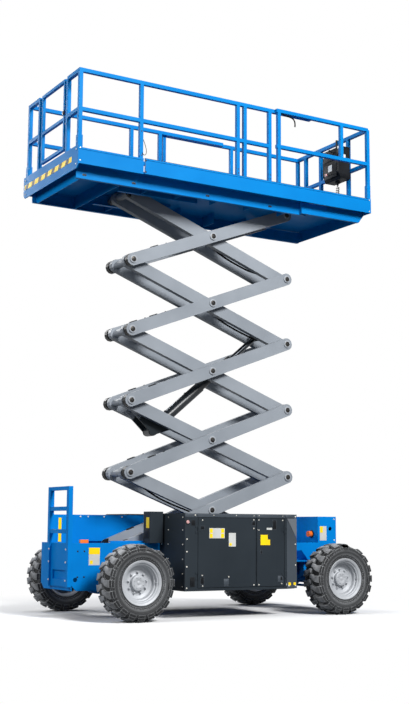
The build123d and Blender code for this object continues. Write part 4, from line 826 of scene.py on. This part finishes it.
for side in (-1, 1):
    sideScrews(darkBolts, side, chassisMade["wall"], darkSpots, chassisMade["wallBolt"])
    sideScrews(paleBolts, side, chassisMade["wall"], chassisMade["paleSpots"], chassisMade["wallBolt"])
endSpots = [(across, up) for across in chassisMade["endAcross"] for up in chassisMade["endUp"]]
endScrews(paleBolts, -1, chassisMade["end"], endSpots, chassisMade["endBolt"])
for low, high, edge in chassisMade["bezels"]:
    block(bezels, low, high, edge)
finishPiece("chassisBolts", paleBolts, "zincBolt", "chassis")
finishPiece("chassisDarkBolts", darkBolts, "burnishedPin", "chassis")
finishPiece("lowerControls", bezels, "blackPlastic", "chassis")
shape = bmesh.new()
block(shape, *chassisMade["sign"])
finishPiece("lowerControlSign", shape, "yellowVinyl", "chassis")
shape = bmesh.new()
panel(shape, 1, chassisMade["strip"], chassisMade["well"], -chassisMade["stripThick"])
finishPiece("wellStrip", shape, "yellowVinyl", "chassis")
shape = bmesh.new()
peg(shape, chassisMade["lampAt"], (-1, 0, 0), chassisMade["lamp"], chassisMade["lampHigh"], 32, edge=0.003)
finishPiece("lampBase", shape, "blackPlastic", "chassis")
print("chassis is dressed")

# platform: hazard tape on the end board, bolts, post sleeves and pins, gate latch, lanyard, loop handle
platformMade = {
    "tape": ((-2.0712, -0.620, 5.088), (-2.0700, 0.760, 5.150)),
    "skirt": 0.640, "skirtBolt": 0.009, "skirtUp": 4.955,
    "skirtAcross": (-1.93, -1.905, -1.30, -1.275, -0.30, -0.275, 0.60, 0.625),
    "board": 0.794, "boardBolt": 0.0055, "boardSpots": [(-2.045, 5.215), (-2.045, 5.070)],
    "rail": 0.7275, "postFace": -2.055, "postBolt": 0.006, "postUp": (5.17, 5.24, 5.30, 5.36),
    "endFace": -2.070, "endBolt": 0.0065, "endAcross": (-0.74, 0.74), "endUp": (5.035, 5.205),
    "latch": ((-2.056, -0.345, 5.735), (-2.048, -0.285, 5.785), 0.003),
    "latchKnob": (-2.056, -0.315, 5.760), "knob": 0.010, "knobHigh": 0.009,
    "sleeves": [(-1.250, -1, 5.23, 5.60), (0.080, -1, 5.23, 5.36), (0.545, -1, 5.23, 5.36),
                (-0.630, 1, 5.23, 5.60), (-0.210, 1, 5.23, 5.36)],
    "sleeve": 0.0215, "sleeveEdge": 0.002, "pinFromEnd": 0.04, "pin": 0.007, "pinHigh": 0.006,
    "gateFace": -2.052, "gatePin": 0.006,
    "gateAcross": (-0.7275, 0.7275, -0.407, 0.407), "gateUp": (5.42, 5.60),
    "lanyard": [(-1.228, -0.752, 5.46), (-1.215, -0.758, 5.42), (-1.190, -0.762, 5.34),
                (-1.195, -0.762, 5.28), (-1.230, -0.760, 5.27), (-1.240, -0.752, 5.30)],
    "lanyardWire": 0.0035,
    "loop": [(-2.048, 0.62, 5.56), (-2.060, 0.62, 5.52), (-2.062, 0.60, 5.40), (-2.062, 0.62, 5.33),
             (-2.062, 0.66, 5.33), (-2.062, 0.68, 5.40), (-2.060, 0.66, 5.52), (-2.048, 0.66, 5.56)],
    "loopRod": 0.006}
shape = bmesh.new()
block(shape, *platformMade["tape"])
finishPiece("endBoardTape", shape, "hazardTape", "platform")
bolts, darks, sleeves, pins = (bmesh.new() for number in range(4))
skirtSpots = [(across, platformMade["skirtUp"]) for across in platformMade["skirtAcross"]]
for side in (-1, 1):
    sideScrews(darks, side, platformMade["skirt"], skirtSpots, platformMade["skirtBolt"])
    sideScrews(bolts, side, platformMade["board"], platformMade["boardSpots"], platformMade["boardBolt"])
    postSpots = [(side * platformMade["rail"], up) for up in platformMade["postUp"]]
    endScrews(bolts, -1, platformMade["postFace"], postSpots, platformMade["postBolt"])
endSpots = [(along, up) for along in platformMade["endAcross"] for up in platformMade["endUp"]]
endScrews(bolts, -1, platformMade["endFace"], endSpots, platformMade["endBolt"])
block(darks, *platformMade["latch"])
peg(darks, platformMade["latchKnob"], (-1, 0, 0), platformMade["knob"], platformMade["knobHigh"], 16,
    edge=0.002)
for across, side, low, high in platformMade["sleeves"]:
    half, rail = platformMade["sleeve"], side * platformMade["rail"]
    block(sleeves, (across - half, rail - half, low), (across + half, rail + half, high),
          platformMade["sleeveEdge"])
    for up in (low + platformMade["pinFromEnd"], high - platformMade["pinFromEnd"]):
        peg(pins, (across, rail + side * half, up), (0, side, 0), platformMade["pin"],
            platformMade["pinHigh"], 14, edge=0.001)
for along in platformMade["gateAcross"]:
    for up in platformMade["gateUp"]:
        peg(pins, (platformMade["gateFace"], along, up), (-1, 0, 0), platformMade["gatePin"],
            platformMade["pinHigh"], 14, edge=0.001)
finishPiece("postSleeves", sleeves, "blueEnamel", "platform")
finishPiece("postPins", pins, "burnishedPin", "platform")
hose("pinLanyard", platformMade["lanyard"], platformMade["lanyardWire"], "cordRubber", "platform")
finishPiece("platformBolts", bolts, "zincBolt", "platform")
finishPiece("platformDarkBolts", darks, "burnishedPin", "platform")
hose("loopHandle", platformMade["loop"], platformMade["loopRod"], "blueEnamel", "platform")

# roll-out extension: bolts, the dark joint line along its boards and a strap on the top rail
extensionMade = {
    "skirt": 0.6700, "skirtBolt": 0.009, "skirtUp": 4.965, "skirtAcross": (1.30, 1.325, 1.86, 1.885),
    "board": 0.812, "boardBolt": 0.0055, "boardSpots": [(2.045, 5.205), (2.045, 5.055)],
    "lines": [((-1.2320, -1.2270, 5.040, 5.215), 0.0008, 0.0),
              ((-1.2340, -1.2140, 5.185, 5.205), 0.004, 0.001),
              ((-1.2340, -1.2140, 5.050, 5.066), 0.004, 0.001),
              ((-1.220, 2.040, 5.2180, 5.2215), 0.0006, 0.0)],
    "rail": 0.7795, "endFace": 2.070, "endBolt": 0.006, "endUp": (5.14, 5.30, 5.62, 5.76, 6.08),
    "strap": [(0.70, -0.7795, 6.1235), (0.73, -0.7795, 6.112), (0.82, -0.7795, 6.105),
              (0.88, -0.7795, 6.090), (0.905, -0.7795, 6.04), (0.900, -0.7795, 5.990)], "strapRound": 0.009}
bolts, darks = bmesh.new(), bmesh.new()
skirtSpots = [(across, extensionMade["skirtUp"]) for across in extensionMade["skirtAcross"]]
for side in (-1, 1):
    sideScrews(darks, side, extensionMade["skirt"], skirtSpots, extensionMade["skirtBolt"])
    sideScrews(bolts, side, extensionMade["board"], extensionMade["boardSpots"], extensionMade["boardBolt"])
    for spot, proud, edge in extensionMade["lines"]:
        panel(darks, side, spot, extensionMade["board"], proud, edge)
    endSpots = [(side * extensionMade["rail"], up) for up in extensionMade["endUp"]]
    endScrews(bolts, 1, extensionMade["endFace"], endSpots, extensionMade["endBolt"])
finishPiece("extensionBolts", bolts, "zincBolt", "extension")
finishPiece("extensionDarkBolts", darks, "burnishedPin", "extension")
hose("railStrap", extensionMade["strap"], extensionMade["strapRound"], "cordRubber", "extension")
print("platform is dressed")

# upper control box: two face plates, two levers in boots, a row of keys, a stop knob, blank labels, glands
upperMade = {
    "plates": [((1.826, -0.415, 5.83), (1.834, -0.125, 5.985)),
               ((1.828, -0.400, 5.60), (1.834, -0.140, 5.79))],
    "plateEdge": 0.003, "leverAlong": (-0.345, -0.200), "leverLean": (-1, 0, 0.25),
    "bootAt": (1.826, 5.93), "boot": 0.022, "bootTop": 0.014, "bootHigh": 0.008,
    "stemAt": (1.820, 5.93), "stem": 0.007, "stemLong": 0.050,
    "gripAt": (1.773, 5.942), "grip": 0.013, "gripLong": 0.022,
    "keyAlong": (-0.375, -0.330, -0.285, -0.240), "keyAt": (1.828, 5.645), "key": 0.008, "keyHigh": 0.007,
    "stopAt": (1.828, -0.185, 5.66), "stop": 0.019, "stopHigh": 0.016,
    "labels": [((1.8265, -0.305, 5.69), (1.828, -0.225, 5.775)),
               ((1.875, -0.4415, 5.80), (1.955, -0.440, 5.90))],
    "glandAt": (1.949, -0.270, 5.520), "socketAt": (1.949, -0.270, 5.122), "glandHigh": 0.050,
    "glandNeck": 0.013, "glandFoot": 0.018}
darks, knobs, label, glands = (bmesh.new() for number in range(4))
for low, high in upperMade["plates"]:
    block(darks, low, high, upperMade["plateEdge"])
for along in upperMade["leverAlong"]:
    face, up = upperMade["bootAt"]
    peg(darks, (face, along, up), (-1, 0, 0), upperMade["boot"], upperMade["bootHigh"], 24,
        top=upperMade["bootTop"])
    face, up = upperMade["stemAt"]
    peg(darks, (face, along, up), upperMade["leverLean"], upperMade["stem"], upperMade["stemLong"], 14)
    face, up = upperMade["gripAt"]
    peg(darks, (face, along, up), upperMade["leverLean"], upperMade["grip"], upperMade["gripLong"],
        edge=0.005)
for along in upperMade["keyAlong"]:
    face, up = upperMade["keyAt"]
    peg(darks, (face, along, up), (-1, 0, 0), upperMade["key"], upperMade["keyHigh"], 14, edge=0.002)
peg(knobs, upperMade["stopAt"], (-1, 0, 0), upperMade["stop"], upperMade["stopHigh"], 28, edge=0.005)
for low, high in upperMade["labels"]:
    block(label, low, high)
neck, foot = upperMade["glandNeck"], upperMade["glandFoot"]
peg(glands, upperMade["glandAt"], (0, 0, 1), neck, upperMade["glandHigh"], top=foot)
peg(glands, upperMade["socketAt"], (0, 0, 1), foot, upperMade["glandHigh"], top=neck)
finishPiece("upperControls", darks, "blackPlastic", "extension")
finishPiece("upperStop", knobs, "pinkKnob", "extension")
finishPiece("upperControlLabel", label, "whiteVinyl", "extension")
finishPiece("cordGlands", glands, "blackPlastic", "extension")
print("controls are dressed")

# arms: rest pads with a screw, stubs on two left pins, hoses under three inner arms, a pipe along the ram
armMade = {
    "turn": radians(20.85),                             # the arms' slope at rest
    "padAlong": (0.30, 0.39), "padAcross": (0.232, 0.288), "padUp": (0.0745, 0.0855), "padEdge": 0.003,
    "screwAlong": 0.52, "screwAcross": 0.26, "screw": 0.008,
    "stubLevels": (1, 3), "stubs": [(0.308, 0.020, 0.020, 20, 0.003), (0.326, 0.010, 0.045, 16, 0.0),
                                    (0.366, 0.016, 0.026, 20, 0.005)],
    "hose": 0.0065, "hoseStep": 0.004,
    "hoses": [
        {"level": 1, "y": (-0.150, -0.168), "along": (0.98, 1.16, 1.40, 1.66, 1.92, 2.06),
         "sag": (0.07, 0.094, 0.100, 0.114, 0.104, 0.07)},
        {"level": 4, "y": (-0.100, -0.116), "along": (0.16, 0.34, 0.60, 0.86, 1.02, 1.08),
         "sag": (0.02, 0.082, 0.094, 0.090, 0.060, 0.03)},
        {"level": 5, "y": (-0.100, -0.116), "along": (0.20, 0.40, 0.66, 0.86, 1.02, 1.10),
         "sag": (0.02, 0.080, 0.092, 0.088, 0.060, 0.03)}]}
ramMade = {
    "turn": radians(40.198), "pipeY": -0.022, "pipe": 0.006,
    "pipeRun": [(0.16, 0.050), (0.17, 0.068), (0.22, 0.070), (0.60, 0.070), (1.05, 0.070), (1.16, 0.066),
                (1.17, 0.048)],
    "clips": (0.30, 0.66, 1.02), "clipLong": 0.022, "clipY": (-0.034, -0.010), "clipUp": (0.050, 0.080),
    "clipEdge": 0.002}


def onArm(start, turn, along, up, y):                   # point by its distance along an arm and above it
    return (start.x + cos(turn) * along - sin(turn) * up, y, start.z + sin(turn) * along + cos(turn) * up)


def leaning(shape, start, turn, low, high, edge):       # block measured along an arm that leaves its pin
    had = len(shape.verts)
    block(shape, low, high, edge)
    shape.verts.ensure_lookup_table()
    made = shape.verts[had:]
    bmesh.ops.rotate(shape, verts=made, cent=(0, 0, 0), matrix=Matrix.Rotation(-turn, 3, "Y"))
    bmesh.ops.translate(shape, verts=made, vec=start)


turn = armMade["turn"]
for level in range(1, 6):
    start = leftPin(level, 0)
    pads = bmesh.new()
    for side in (-1, 1):
        near, far = sorted(side * across for across in armMade["padAcross"])
        leaning(pads, start, turn, (armMade["padAlong"][0], near, armMade["padUp"][0]),
                (armMade["padAlong"][1], far, armMade["padUp"][1]), armMade["padEdge"])
        spot = onArm(start, turn, armMade["screwAlong"], armMade["padUp"][0], side * armMade["screwAcross"])
        screw(pads, spot, (-sin(turn), 0, cos(turn)), armMade["screw"])
    finishPiece("restPads.outer_%d" % level, pads, "blackPlastic", "outer_%d" % level)
for level in armMade["stubLevels"]:
    start = leftPin(level, 1)
    shape = bmesh.new()
    for out, radius, height, sides, edge in armMade["stubs"]:
        peg(shape, (start.x, out, start.z), (0, 1, 0), radius, height, sides, edge)
    finishPiece("pinStub.inner_%d" % level, shape, "burnishedPin", "inner_%d" % level)
for run in armMade["hoses"]:
    level = run["level"]
    start = liftAt + Vector((0, 0, rise * (level - 1)))
    for number, y in enumerate(run["y"]):
        step = armMade["hoseStep"] * number
        hose("armHose%d.inner_%d" % (number + 1, level),
             [onArm(start, pi - turn, along, sag - step, y) for along, sag in zip(run["along"], run["sag"])],
             armMade["hose"], "cordRubber", "inner_%d" % level)
turn = ramMade["turn"]
hose("ramPipe", [onArm(ramFoot, turn, along, up, ramMade["pipeY"]) for along, up in ramMade["pipeRun"]],
     ramMade["pipe"], "oiledRod", "barrel")
clips = bmesh.new()
for along in ramMade["clips"]:
    leaning(clips, ramFoot, turn, (along, ramMade["clipY"][0], ramMade["clipUp"][0]),
            (along + ramMade["clipLong"], ramMade["clipY"][1], ramMade["clipUp"][1]), ramMade["clipEdge"])
finishPiece("ramPipeClips", clips, "blackPlastic", "barrel")
print("arms are dressed")
